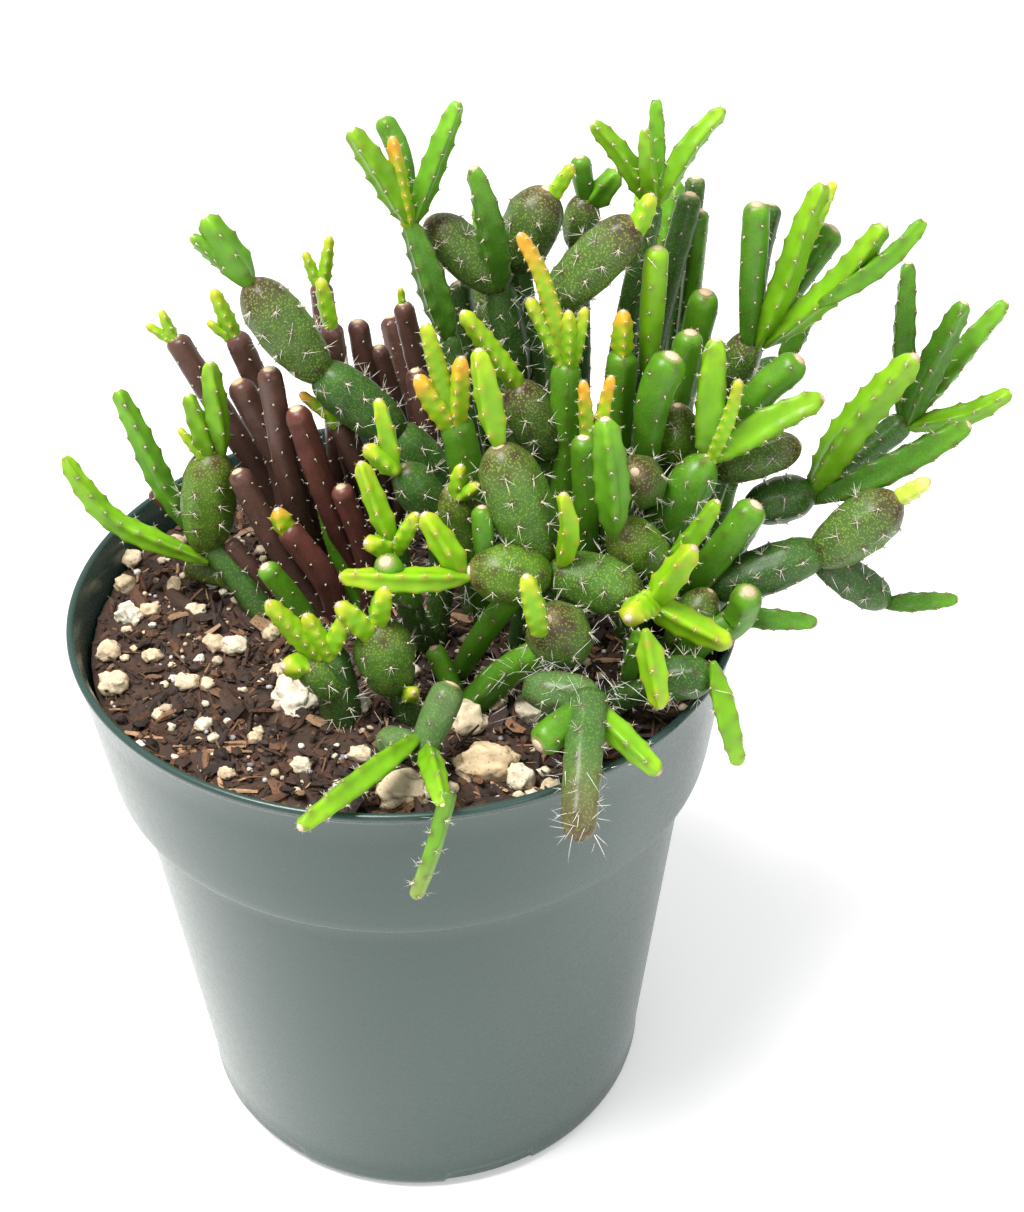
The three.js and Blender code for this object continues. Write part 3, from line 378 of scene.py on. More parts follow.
# sides of the fine mesh, and how each form swells, ribs and bristles; lengths in widths or mm
forms = {
    "stalk": {"sides": 18, "start": 0.95, "mid": 0.9, "tip": 0.8, "peak": 0.4, "neck": 0.3, "cap": 0.45,
              "tipFrom": 0.35, "ribs": 5, "ribDepth": 0.06, "pitch": 3.6, "bump": 0.06, "edge": 1.0,
              "felt": 0.0, "dot": 0.13, "bristles": 4, "bristleLength": 1.4, "star": 0.8},
    "club": {"sides": 22, "start": 0.62, "mid": 0.95, "tip": 0.9, "peak": 0.7, "neck": 0.5, "cap": 0.4,
             "tipFrom": 0.35, "ribs": 5, "ribDepth": 0.045, "pitch": 4.2, "bump": 0.05, "edge": 1.0,
             "felt": 0.5, "dot": 0.15, "bristles": 2, "bristleLength": 0.55, "star": 0.8},
    "barrel": {"sides": 32, "start": 0.66, "mid": 1.0, "tip": 0.76, "peak": 0.5, "neck": 0.45,
               "cap": 0.55, "tipFrom": 0.6, "ribs": 7, "ribDepth": 0.025, "pitch": 3.6, "bump": 0.05,
               "edge": 1.0, "felt": 0.12, "dot": 0.2, "bristles": 6, "bristleLength": 1.9, "star": 1.0},
    "wing": {"sides": 32, "start": 0.42, "mid": 0.98, "tip": 0.6, "peak": 0.42, "neck": 0.8, "cap": 0.34,
             "tipFrom": 0.6, "ribs": 4, "ribDepth": 0.17, "pitch": 3.5, "bump": 0.2, "edge": 1.8,
             "felt": 0.4, "dot": 0.14, "bristles": 3, "bristleLength": 0.75, "star": 0.8},
    "sprout": {"sides": 18, "start": 0.75, "mid": 0.98, "tip": 0.62, "peak": 0.4, "neck": 0.4, "cap": 0.4,
               "tipFrom": 0.62, "ribs": 4, "ribDepth": 0.06, "pitch": 1.9, "bump": 0.26, "edge": 1.0,
               "felt": 0.3, "dot": 0.12, "bristles": 4, "bristleLength": 0.65, "star": 0.75},
}

# body colour, tip colour, colour round the areoles, and how much speckle, grey bloom and tip blush it has
tints = {
    "dark": {"body": (0.022, 0.075, 0.009), "tip": (0.036, 0.11, 0.014), "spot": (0.04, 0.035, 0.015),
             "speckle": 0.45, "bloom": 0.3, "blush": 0.1},
    "green": {"body": (0.05, 0.165, 0.006), "tip": (0.085, 0.25, 0.008), "spot": (0.075, 0.09, 0.015),
              "speckle": 0.3, "bloom": 0.12, "blush": 0.08},
    "bright": {"body": (0.15, 0.36, 0.007), "tip": (0.22, 0.44, 0.01), "spot": (0.14, 0.18, 0.02),
               "speckle": 0.15, "bloom": 0.03, "blush": 0.05},
    "lime": {"body": (0.21, 0.44, 0.008), "tip": (0.34, 0.52, 0.012), "spot": (0.36, 0.28, 0.03),
             "speckle": 0.1, "bloom": 0.0, "blush": 0.12},
    "leaf": {"body": (0.1, 0.28, 0.01), "tip": (0.15, 0.37, 0.014), "spot": (0.1, 0.14, 0.02),
             "speckle": 0.15, "bloom": 0.08, "blush": 0.05},
    "young": {"body": (0.2, 0.45, 0.008), "tip": (0.42, 0.48, 0.02), "spot": (0.45, 0.46, 0.04),
              "speckle": 0.0, "bloom": 0.0, "blush": 0.12},
    "orange": {"body": (0.25, 0.45, 0.01), "tip": (0.74, 0.3, 0.03), "spot": (0.6, 0.34, 0.03),
               "speckle": 0.0, "bloom": 0.0, "blush": 0.2},
    "pale": {"body": (0.42, 0.58, 0.05), "tip": (0.66, 0.68, 0.2), "spot": (0.6, 0.5, 0.12),
             "speckle": 0.0, "bloom": 0.0, "blush": 0.0},
    "purple": {"body": (0.058, 0.02, 0.02), "tip": (0.095, 0.036, 0.032), "spot": (0.04, 0.013, 0.014),
               "speckle": 0.1, "bloom": 0.25, "blush": 0.0},
    "wine": {"body": (0.075, 0.016, 0.018), "tip": (0.12, 0.03, 0.028), "spot": (0.04, 0.013, 0.014),
             "speckle": 0.1, "bloom": 0.2, "blush": 0.0},
    "plum": {"body": (0.055, 0.115, 0.014), "tip": (0.075, 0.06, 0.025), "spot": (0.045, 0.014, 0.014),
             "speckle": 1.0, "bloom": 0.5, "blush": 0.4},
    "olive": {"body": (0.075, 0.165, 0.01), "tip": (0.085, 0.12, 0.016), "spot": (0.05, 0.018, 0.014),
              "speckle": 1.0, "bloom": 0.2, "blush": 0.3},
    "speckled": {"body": (0.058, 0.15, 0.013), "tip": (0.08, 0.11, 0.02), "spot": (0.05, 0.02, 0.016),
                 "speckle": 1.0, "bloom": 0.3, "blush": 0.3},
    "grey": {"body": (0.055, 0.14, 0.026), "tip": (0.085, 0.16, 0.045), "spot": (0.045, 0.025, 0.016),
             "speckle": 0.6, "bloom": 0.8, "blush": 0.1},
    "shrivelled": {"body": (0.04, 0.12, 0.016), "tip": (0.13, 0.095, 0.04), "spot": (0.06, 0.03, 0.015),
                   "speckle": 0.6, "bloom": 0.6, "blush": 0.6},
    "dry": {"body": (0.12, 0.28, 0.02), "tip": (0.2, 0.28, 0.04), "spot": (0.08, 0.08, 0.02),
            "speckle": 0.2, "bloom": 0.1, "blush": 0.1},
}
feltColour = (0.5, 0.36, 0.22)
sunk = 1.5  # how far a joint starts inside the piece it grows from, mm


class MeshBin:
    # gathers vertices, faces, per-vertex colours and masks, and a material number for each face
    def __init__(self):
        self.points = []
        self.faces = []
        self.colours = []
        self.masks = []
        self.kinds = []

    def add(self, points, faces, colours, masks, kind):
        start = len(self.points)
        self.points.extend(points)
        self.faces.extend([tuple(start + i for i in face) for face in faces])
        self.colours.extend(colours)
        self.masks.extend(masks)
        self.kinds.extend([kind] * len(faces))

    def build(self, name, materials, smooth=True):
        mesh = bpy.data.meshes.new(name)
        mesh.from_pydata(np.clip(np.array(self.points) * mm, *cadBox), [], self.faces)
        colour = mesh.attributes.new("tone", "FLOAT_COLOR", "POINT")
        colour.data.foreach_set("color", [v for c in self.colours for v in (*c, 1.0)])
        mask = mesh.attributes.new("mask", "FLOAT_COLOR", "POINT")
        mask.data.foreach_set("color", [v for m in self.masks for v in (*m, 1.0)])
        for material in materials:
            mesh.materials.append(material)
        mesh.polygons.foreach_set("material_index", self.kinds)
        mesh.polygons.foreach_set("use_smooth", [smooth] * len(self.faces))
        mesh.update()
        piece = bpy.data.objects.new(name, mesh)
        bpy.context.scene.collection.objects.link(piece)
        return piece


def mix(a, b, amount):
    return tuple(x + (y - x) * amount for x, y in zip(a, b))


def clamp(value, low=0.0, high=1.0):
    return max(low, min(high, value))


def smooth(low, high, value):
    step = clamp((value - low) / (high - low))
    return step * step * (3 - 2 * step)


# a smooth curve through the places, as (point, direction) samples at even steps
def curveThrough(places):
    points = [Vector(p) for p in places]
    if len(points) == 2:
        middle = (points[0] + points[1]) / 2
        points.insert(1, middle)
    padded = [points[0] * 2 - points[1], *points, points[-1] * 2 - points[-2]]
    fine = []
    for i in range(1, len(padded) - 2):
        a, b, c, d = padded[i - 1:i + 3]
        for step in range(16):
            t = step / 16
            fine.append(0.5 * (2 * b + (c - a) * t + (2 * a - 5 * b + 4 * c - d) * t ** 2
                               + (3 * b - a - 3 * c + d) * t ** 3))
    fine.append(points[-1])
    reach = [0.0]
    for a, b in zip(fine, fine[1:]):
        reach.append(reach[-1] + (b - a).length)
    return fine, reach


def placeAt(fine, reach, distance):
    distance = clamp(distance, 0, reach[-1])
    low = 0
    while low < len(reach) - 2 and reach[low + 1] < distance:
        low += 1
    span = reach[low + 1] - reach[low]
    t = (distance - reach[low]) / span if span else 0
    return fine[low].lerp(fine[low + 1], t), (fine[low + 1] - fine[low]).normalized()


# one joint: a ribbed, swelling tube along the curve with areoles, bristles and a felt pad at its tip
def growJoint(store, form, tint, width, places, seed):
    shape, look = forms[form], tints[tint]
    rnd = random.Random(seed)
    path = [Vector(p) for p in places]
    path[0] = path[0] - (path[1] - path[0]).normalized() * sunk
    fine, reach = curveThrough(path)
    length = reach[-1]
    sides = shape["sides"]
    rings = int(clamp(length / 0.42, 14, 64))
    capLength, neckLength = width * shape["cap"], width * shape["neck"]
    phase = rnd.uniform(0, math.tau)
    ribs, pitch = shape["ribs"], shape["pitch"] * rnd.uniform(0.9, 1.1)
    twist = rnd.uniform(-0.25, 0.25)
    _, heading = placeAt(fine, reach, 0)
    right = heading.cross(Vector((0.2, -0.9, 0.3))).normalized()
    wobble = rnd.uniform(0, 50)

    slim = width / 2 / (1 + shape["ribDepth"] + 0.5 * shape["bump"])

    def radiusAt(s):
        along = s / length
        peak = shape["peak"]
        if along < peak:
            body = shape["start"] + (shape["mid"] - shape["start"]) * math.sin(along / peak * math.pi / 2)
        else:
            after = (along - peak) / (1 - peak)
            body = shape["mid"] + (shape["tip"] - shape["mid"]) * (1 - math.cos(after * math.pi / 2))
        neck = math.sqrt(clamp(1 - (1 - min(1, (s + 0.15 * width) / neckLength)) ** 2))
        cap = math.sqrt(clamp(1 - (1 - min(1, (length - s) / capLength)) ** 2.4))
        lump = 1 + 0.05 * noise.noise(Vector((s * 0.16, wobble, 0)))
        return slim * body * neck * cap * lump

    # how close this place is to the nearest areole: 1 on it, 0 far away
    def areoleNear(s, angle):
        turn = (angle - phase - twist * s / length) / math.tau * ribs
        rib = round(turn)
        row = (s / pitch) - 0.5 * (rib % 2)
        sideways = (turn - rib) * math.tau / ribs * max(0.6, radiusAt(s))
        lengthways = (row - round(row)) * pitch
        spread = 0.45 + 0.05 * width
        return math.exp(-(sideways ** 2 + lengthways ** 2) / spread ** 2), row - math.floor(row)

    # rings close up where the ends round off
    steps = []
    for i in range(rings + 1):
        even = i / rings
        steps.append(length * (even * 0.55 + 0.45 * (1 - math.cos(even * math.pi)) / 2))
    points, faces, colours, masks = [], [], [], []
    for s in steps:
        centre, tangent = placeAt(fine, reach, s)
        right = (right - tangent * right.dot(tangent)).normalized()
        front = tangent.cross(right)
        radius = radiusAt(s)
        ends = smooth(0, capLength, length - s) * smooth(0, neckLength, s + 0.2)
        for j in range(sides):
            angle = math.tau * j / sides
            near, saw = areoleNear(s, angle)
            rib = math.cos((angle - phase - twist * s / length) * ribs)
            if shape["edge"] > 1:
                rib = 2 * ((rib + 1) / 2) ** shape["edge"] - 1
            notch = shape["bump"] * (near * 0.8 + 0.7 * (saw - 0.5) * max(0, rib))
            rough = 0.03 * noise.noise(Vector((centre.x, centre.y, centre.z)) * 0.5 + Vector((angle, 0, 0)))
            swell = 1 + ends * (shape["ribDepth"] * rib + notch + rough)
            place = centre + (right * math.cos(angle) + front * math.sin(angle)) * radius * swell
            points.append(tuple(place))
            along = s / length
            colour = mix(look["body"], look["tip"], smooth(shape["tipFrom"], 1.0, along))
            colour = mix(colour, tuple(c * 0.72 for c in colour), smooth(0.4, 0.0, along))
            colour = mix(colour, look["spot"], clamp(near * 1.3 - 0.25) * 0.8)
            colour = mix(colour, look["spot"], look["blush"] * smooth(0.7, 1.0, along))
            pad = shape["felt"] * smooth(capLength * 0.2, 0, length - s)
            colour = mix(colour, feltColour, clamp(pad * 2.2))
            colours.append(colour)
            masks.append((look["speckle"] * (1 - pad), look["bloom"] * ends, clamp(pad * 2)))
    for i in range(len(steps) - 1):
        for j in range(sides):
            a, b = i * sides + j, i * sides + (j + 1) % sides
            faces.append((a, b, b + sides, a + sides))
    for ring, outward in ((0, -1), (len(steps) - 1, 1)):
        centre = len(points)
        points.append(tuple(placeAt(fine, reach, steps[ring])[0]))
        colours.append(colours[ring * sides])
        masks.append(masks[ring * sides])
        for j in range(sides):
            a, b = ring * sides + j, ring * sides + (j + 1) % sides
            faces.append((b, a, centre) if outward < 0 else (a, b, centre))
    store.add(points, faces, colours, masks, 0)

    # areoles in staggered rows along the ribs, each a felt dot with its own bristles
    for rib in range(ribs):
        row = 0
        while True:
            s = (row + 0.5 * (rib % 2)) * pitch
            row += 1
            if s > length - capLength * 0.55:
                break
            if s < neckLength * 0.9:
                continue
            angle = phase + twist * s / length + math.tau * rib / ribs
            centre, tangent = placeAt(fine, reach, s)
            side = (right - tangent * right.dot(tangent)).normalized()
            outward = side * math.cos(angle) + tangent.cross(side) * math.sin(angle)
            radius = radiusAt(s) * (1 + shape["ribDepth"] + shape["bump"] * 1.05)
            addAreole(store, centre + outward * radius, outward, tangent, shape, rnd, tint)
    tip, tangent = placeAt(fine, reach, length)
    if shape["felt"]:
        addFeltPad(store, tip, tangent, width * shape["tip"] * (0.14 if form == "barrel" else 0.24), rnd)


def roundDot(store, centre, outward, radius, height, colour, mask, kind, sides=6):
    side = outward.orthogonal().normalized()
    front = outward.cross(side)
    points, faces = [], []
    for wide, tall in ((1.0, -0.25), (0.8, 0.55)):
        for j in range(sides):
            angle = math.tau * j / sides
            place = centre + (side * math.cos(angle) + front * math.sin(angle)) * radius * wide
            points.append(tuple(place + outward * height * tall))
    points.append(tuple(centre + outward * height))
    points.append(tuple(centre - outward * height * 0.6))
    for j in range(sides):
        nextOne = (j + 1) % sides
        faces.append((j, nextOne, sides + nextOne, sides + j))
        faces.append((sides + j, sides + nextOne, 2 * sides))
        faces.append((nextOne, j, 2 * sides + 1))
    store.add(points, faces, [colour] * len(points), [mask] * len(points), kind)


def bristle(store, root, direction, length, thickness, colour, bend):
    side = direction.orthogonal().normalized()
    front = direction.cross(side)
    pieces = 1 if length < 2.2 else 3
    points, faces = [], []
    for piece in range(pieces):
        along = piece / pieces
        centre = root + direction * length * along + bend * (length * along ** 2)
        for j in range(3):
            angle = math.tau * j / 3
            wide = thickness * (1 - 0.6 * along)
            points.append(tuple(centre + (side * math.cos(angle) + front * math.sin(angle)) * wide))
    points.append(tuple(insideBox(root + direction * length + bend * length)))
    for piece in range(pieces - 1):
        for j in range(3):
            a, b = piece * 3 + j, piece * 3 + (j + 1) % 3
            faces.append((a, b, b + 3, a + 3))
    last = (pieces - 1) * 3
    for j in range(3):
        faces.append((last + j, last + (j + 1) % 3, pieces * 3))
    faces.append((2, 1, 0))
    store.add(points, faces, [colour] * len(points), [(0, 0, 1)] * len(points), 1)


def insideBox(place):
    margin = 0.25
    low, high = cadBox
    return Vector([clamp(place[i], low[i] / mm + margin, high[i] / mm - margin) for i in range(3)])


def addAreole(store, place, outward, tangent, shape, rnd, tint):
    freshTint = tint in ("young", "orange", "lime", "pale")
    felt = (0.62, 0.6, 0.22) if freshTint else (0.55, 0.46, 0.33)
    size = shape["dot"] * rnd.uniform(0.75, 1.3)
    roundDot(store, place - outward * 0.08, outward, size, size * 0.8, felt, (0, 0, 1), 1)
    count = max(1, int(round(shape["bristles"] * rnd.uniform(0.6, 1.3))))
    for _ in range(count):
        spread = shape["star"] * rnd.uniform(0.55, 1.1)
        spin = rnd.uniform(0, math.tau)
        side = tangent.cross(outward).normalized()
        lean = tangent * math.cos(spin) + side * math.sin(spin)
        direction = (outward * math.cos(spread) + lean * math.sin(spread)).normalized()
        length = shape["bristleLength"] * rnd.uniform(0.5, 1.35)
        white = rnd.uniform(0.75, 0.95)
        colour = (white, white * 0.96, white * rnd.uniform(0.75, 0.9))
        bristle(store, place, direction, length, 0.042, colour, lean * rnd.uniform(-0.1, 0.15))


# the cream felt pad at the tip of a joint: a low crowned disc with a ragged edge of short hairs
def addFeltPad(store, tip, tangent, radius, rnd):
    cream = mix((0.5, 0.36, 0.22), (0.68, 0.55, 0.38), rnd.random())
    centre = insideBox(tip - tangent * 0.3)
    roundDot(store, centre, tangent, radius, 0.4, cream, (0, 0, 1), 1, 10)
    for j in range(9):
        angle = math.tau * j / 9 + rnd.uniform(-0.2, 0.2)
        side = tangent.orthogonal().normalized()
        lean = side * math.cos(angle) + tangent.cross(side) * math.sin(angle)
        direction = (lean * 0.8 + tangent * 0.6).normalized()
        root = centre + lean * radius * 0.8
        bristle(store, root, direction, rnd.uniform(0.3, 0.7), 0.05, cream, lean * 0.1)


# long pale hairs that hang in the forks, as (x, y, z, how many, reach) in mm
hairTufts = [
    (-16, 5, 143, 14, 3.5), (-12, 5, 136, 16, 4), (-2, 4, 127, 18, 4), (4, 3, 120, 16, 4),
    (18, -14, 118, 14, 3.5), (24, -18, 115, 14, 3.5), (36, -19, 112, 12, 3), (22, -30, 108, 26, 5),
    (24, -34, 107, 30, 5.5), (30, -35, 106, 16, 4.5), (26, -50, 104, 22, 4),
    (25.8, -55, 100.5, 26, 4.2), (64, -7, 110, 16, 3.5), (70, -8, 115, 16, 4), (55, -9, 108, 14, 3.5),
    (44, -4, 122, 12, 3), (38, -6, 112, 14, 3.5), (28, 10, 146, 14, 3.5), (20, 12, 143, 14, 3.5),
    (33, 9, 153, 12, 3.5), (12, 0, 110, 14, 4), (10, -18, 110, 16, 4), (-3, -25, 99, 16, 4),
    (3, -23, 97, 14, 4), (-9, -25, 97, 12, 3.5), (17, -25, 100, 20, 5), (30, -28, 101, 18, 4.5),
    (44, -30, 104, 10, 3),
]


def addHairTufts(store):
    rnd = random.Random(77)
    for x, y, z, count, reach in hairTufts:
        for _ in range(count):
            root = Vector((x + rnd.gauss(0, 1.6), y + rnd.gauss(0, 1.6), z + rnd.gauss(0, 2)))
            direction = Vector((rnd.gauss(0, 1), rnd.gauss(-0.5, 1), rnd.gauss(0.1, 0.8))).normalized()
            length = reach * rnd.uniform(0.5, 1.2)
            white = rnd.uniform(0.75, 0.95)
            sag = Vector((rnd.uniform(-0.1, 0.1), 0, rnd.uniform(-0.15, 0.08)))
            bristle(store, root, direction, length, 0.05, (white, white, white * 0.92), sag)


def nodeIn(tree, kind, **settings):
    node = tree.nodes.new(kind)
    for key, value in settings.items():
        setattr(node, key, value)
    return node


def makeGroup(name, inputs, outputs):
    group = bpy.data.node_groups.new(name, "ShaderNodeTree")
    for label, kind, value in inputs:
        socket = group.interface.new_socket(name=label, in_out="INPUT", socket_type=kind)
        socket.default_value = value
    for label, kind in outputs:
        group.interface.new_socket(name=label, in_out="OUTPUT", socket_type=kind)
    return group, group.nodes.new("NodeGroupInput"), group.nodes.new("NodeGroupOutput")


# soft light and dark patches over a colour, with a height to feed a bump
def makePatchGroup():
    group, source, result = makeGroup(
        "soft_patches",
        [("Color", "NodeSocketColor", (1, 1, 1, 1)), ("Scale", "NodeSocketFloat", 200.0),
         ("Amount", "NodeSocketFloat", 0.3)],
        [("Color", "NodeSocketColor"), ("Height", "NodeSocketFloat")])
    links = group.links
    coords = nodeIn(group, "ShaderNodeTexCoord")
    patches = nodeIn(group, "ShaderNodeTexNoise")
    patches.inputs["Detail"].default_value = 5
    links.new(coords.outputs["Object"], patches.inputs["Vector"])
    links.new(source.outputs["Scale"], patches.inputs["Scale"])
    centred = nodeIn(group, "ShaderNodeMath", operation="SUBTRACT")
    links.new(patches.outputs["Fac"], centred.inputs[0])
    centred.inputs[1].default_value = 0.5
    scaled = nodeIn(group, "ShaderNodeMath", operation="MULTIPLY_ADD")
    links.new(centred.outputs[0], scaled.inputs[0])
    links.new(source.outputs["Amount"], scaled.inputs[1])
    scaled.inputs[2].default_value = 1.0
    tinted = nodeIn(group, "ShaderNodeVectorMath", operation="SCALE")
    links.new(source.outputs["Color"], tinted.inputs[0])
    links.new(scaled.outputs[0], tinted.inputs["Scale"])
    links.new(tinted.outputs[0], result.inputs["Color"])
    links.new(patches.outputs["Fac"], result.inputs["Height"])
    return group


# fine pale dots of a cell pattern, for speckled skin and flecked minerals
def makeFleckGroup():
    group, source, result = makeGroup(
        "fine_flecks",
        [("Scale", "NodeSocketFloat", 1500.0), ("Size", "NodeSocketFloat", 0.25)],
        [("Mask", "NodeSocketFloat")])
    links = group.links
    coords = nodeIn(group, "ShaderNodeTexCoord")
    cells = nodeIn(group, "ShaderNodeTexVoronoi")
    links.new(coords.outputs["Object"], cells.inputs["Vector"])
    links.new(source.outputs["Scale"], cells.inputs["Scale"])
    less = nodeIn(group, "ShaderNodeMath", operation="SUBTRACT")
    links.new(source.outputs["Size"], less.inputs[0])
    links.new(cells.outputs["Distance"], less.inputs[1])
    sharp = nodeIn(group, "ShaderNodeMath", operation="MULTIPLY", use_clamp=True)
    links.new(less.outputs[0], sharp.inputs[0])
    sharp.inputs[1].default_value = 9.0
    links.new(sharp.outputs[0], result.inputs["Mask"])
    return group


patchGroup = makePatchGroup()
fleckGroup = makeFleckGroup()


def startMaterial(name, **constants):
    material = bpy.data.materials.new(name)
    material.use_nodes = True
    tree = material.node_tree
    shader = tree.nodes["Principled BSDF"]
    for label, value in constants.items():
        shader.inputs[label.replace("_", " ")].default_value = value
    return material, tree, shader


def place(tree, group, **values):
    node = nodeIn(tree, "ShaderNodeGroup", node_tree=group)
    for label, value in values.items():
        node.inputs[label].default_value = value
    return node


def mixColours(tree, first, second, factor, blend="MIX"):
    node = nodeIn(tree, "ShaderNodeMix", data_type="RGBA", blend_type=blend)
    sockets = node.inputs["A"], node.inputs["B"], node.inputs["Factor"]
    for socket, value in zip(sockets, (first, second, factor)):
        if isinstance(value, (tuple, float, int)):
            socket.default_value = value
        else:
            tree.links.new(value, socket)
    return node.outputs["Result"]


def addBump(tree, shader, height, strength, distance):
    bump = nodeIn(tree, "ShaderNodeBump")
    bump.inputs["Strength"].default_value = strength
    bump.inputs["Distance"].default_value = distance
    tree.links.new(height, bump.inputs["Height"])
    tree.links.new(bump.outputs["Normal"], shader.inputs["Normal"])


def roughFrom(tree, shader, height, low, high):
    spread = nodeIn(tree, "ShaderNodeMapRange")
    spread.inputs["To Min"].default_value = low
    spread.inputs["To Max"].default_value = high
    tree.links.new(height, spread.inputs["Value"])
    tree.links.new(spread.outputs["Result"], shader.inputs["Roughness"])


stemSkin = {"roughLow": 0.24, "roughHigh": 0.46, "fleckScale": 2600.0, "patchScale": 260.0, "patches": 0.9}


def makeStemSkin():
    material, tree, shader = startMaterial("stem_skin", Subsurface_Weight=0.06, Subsurface_Scale=1.0 * mm,
                                           IOR=1.4, Specular_IOR_Level=0.42)
    shader.inputs["Subsurface Radius"].default_value = (0.8, 1.0, 0.3)
    tone = nodeIn(tree, "ShaderNodeAttribute", attribute_name="tone")
    mask = nodeIn(tree, "ShaderNodeAttribute", attribute_name="mask")
    parts = nodeIn(tree, "ShaderNodeSeparateColor")
    tree.links.new(mask.outputs["Color"], parts.inputs["Color"])
    patches = place(tree, patchGroup, Scale=stemSkin["patchScale"], Amount=stemSkin["patches"])
    tree.links.new(tone.outputs["Color"], patches.inputs["Color"])
    flecks = place(tree, fleckGroup, Scale=stemSkin["fleckScale"], Size=0.42)
    speckle = nodeIn(tree, "ShaderNodeMath", operation="MULTIPLY")
    tree.links.new(flecks.outputs["Mask"], speckle.inputs[0])
    tree.links.new(parts.outputs["Red"], speckle.inputs[1])
    lighter = mixColours(tree, patches.outputs["Color"], (0.24, 0.36, 0.03, 1), 0.5)
    speckled = mixColours(tree, patches.outputs["Color"], lighter, speckle.outputs[0])
    haze = place(tree, patchGroup, Scale=420.0, Amount=1.0)
    bloomed = nodeIn(tree, "ShaderNodeMath", operation="MULTIPLY")
    tree.links.new(haze.outputs["Height"], bloomed.inputs[0])
    tree.links.new(parts.outputs["Green"], bloomed.inputs[1])
    softened = nodeIn(tree, "ShaderNodeMath", operation="MULTIPLY")
    tree.links.new(bloomed.outputs[0], softened.inputs[0])
    softened.inputs[1].default_value = 0.32
    colour = mixColours(tree, speckled, (0.24, 0.3, 0.18, 1), softened.outputs[0])
    tree.links.new(colour, shader.inputs["Base Color"])
    roughFrom(tree, shader, patches.outputs["Height"], stemSkin["roughLow"], stemSkin["roughHigh"])
    height = nodeIn(tree, "ShaderNodeMath", operation="MULTIPLY_ADD")
    tree.links.new(speckle.outputs[0], height.inputs[0])
    height.inputs[1].default_value = 0.5
    tree.links.new(patches.outputs["Height"], height.inputs[2])
    addBump(tree, shader, height.outputs[0], 0.35, 0.12 * mm)
    return material


def makeBristleFelt():
    material, tree, shader = startMaterial("bristle_and_felt", Roughness=0.6)
    tone = nodeIn(tree, "ShaderNodeAttribute", attribute_name="tone")
    patches = place(tree, patchGroup, Scale=2600.0, Amount=0.5)
    tree.links.new(tone.outputs["Color"], patches.inputs["Color"])
    tree.links.new(patches.outputs["Color"], shader.inputs["Base Color"])
    roughFrom(tree, shader, patches.outputs["Height"], 0.45, 0.8)
    addBump(tree, shader, patches.outputs["Height"], 0.5, 0.08 * mm)
    return material


potLook = {"colour": (0.022, 0.05, 0.043, 1), "roughLow": 0.2, "roughHigh": 0.34}


def makePotPlastic():
    material, tree, shader = startMaterial("pot_plastic", IOR=1.5)
    patches = place(tree, patchGroup, Scale=28.0, Amount=0.16)
    patches.inputs["Color"].default_value = potLook["colour"]
    scuffs = place(tree, patchGroup, Scale=900.0, Amount=0.1)
    flecks = place(tree, fleckGroup, Scale=70.0, Size=0.035)
    tree.links.new(patches.outputs["Color"], scuffs.inputs["Color"])
    dusty = mixColours(tree, scuffs.outputs["Color"], (0.08, 0.1, 0.09, 1), flecks.outputs["Mask"])
    tree.links.new(dusty, shader.inputs["Base Color"])
    roughFrom(tree, shader, scuffs.outputs["Height"], potLook["roughLow"], potLook["roughHigh"])
    addBump(tree, shader, scuffs.outputs["Height"], 0.12, 0.06 * mm)
    return material


# loose mineral and bark share one recipe: vertex tone, patches, flecks and a rough bump
def makeGrainy(name, scale, amount, fleckColour, fleckSize, strength, roughness):
    material, tree, shader = startMaterial(name)
    tone = nodeIn(tree, "ShaderNodeAttribute", attribute_name="tone")
    patches = place(tree, patchGroup, Scale=scale, Amount=amount)
    tree.links.new(tone.outputs["Color"], patches.inputs["Color"])
    flecks = place(tree, fleckGroup, Scale=scale * 1.4, Size=fleckSize)
    colour = mixColours(tree, patches.outputs["Color"], fleckColour, flecks.outputs["Mask"])
    tree.links.new(colour, shader.inputs["Base Color"])
    roughFrom(tree, shader, patches.outputs["Height"], *roughness)
    addBump(tree, shader, patches.outputs["Height"], strength, 0.5 * mm)
    return material


skin = makeStemSkin()
feltAndBristle = makeBristleFelt()
potPlastic = makePotPlastic()
soilMaterial = makeGrainy("potting_soil", 700.0, 1.2, (0.02, 0.012, 0.008, 1), 0.2, 1.0, (0.7, 0.95))
barkMaterial = makeGrainy("bark_chip", 900.0, 1.1, (0.03, 0.015, 0.01, 1), 0.2, 0.8, (0.6, 0.9))
pumiceMaterial = makeGrainy("pumice_and_perlite", 900.0, 0.35, (0.35, 0.22, 0.12, 1), 0.22, 0.7, (0.7, 0.95))
print("materials made")


def makeStems():
    seed = 100
    for name, (slotName, joints) in growth.items():
        store = MeshBin()
        for form, tint, width, *places in joints:
            growJoint(store, form, tint, width, places, seed)
            seed += 1
        if name == "spiny_barrel_chain":
            addHairTufts(store)
        piece = store.build("fine_" + name, [skin, feltAndBristle])
        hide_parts(name)
        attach(piece, "root")
        stemFaces.append(len(store.faces))


stemFaces = []
makeStems()
print("stems made, faces:", sum(stemFaces))

potShape = {
    "rim": 52.5, "height": 100, "collarBottom": 74, "collarRadius": 49.2, "bodyTop": 46.3, "base": 39.4,
    "wall": 1.2, "floorTop": 3.4, "recess": 1.4, "boss": 11, "footWidth": 5, "steps": 288,
    "slots": 6, "slotWidth": 16, "slotHeight": 2.5, "slotTurn": 0.32,
}


def lerp(a, b, t):
    return a + (b - a) * t


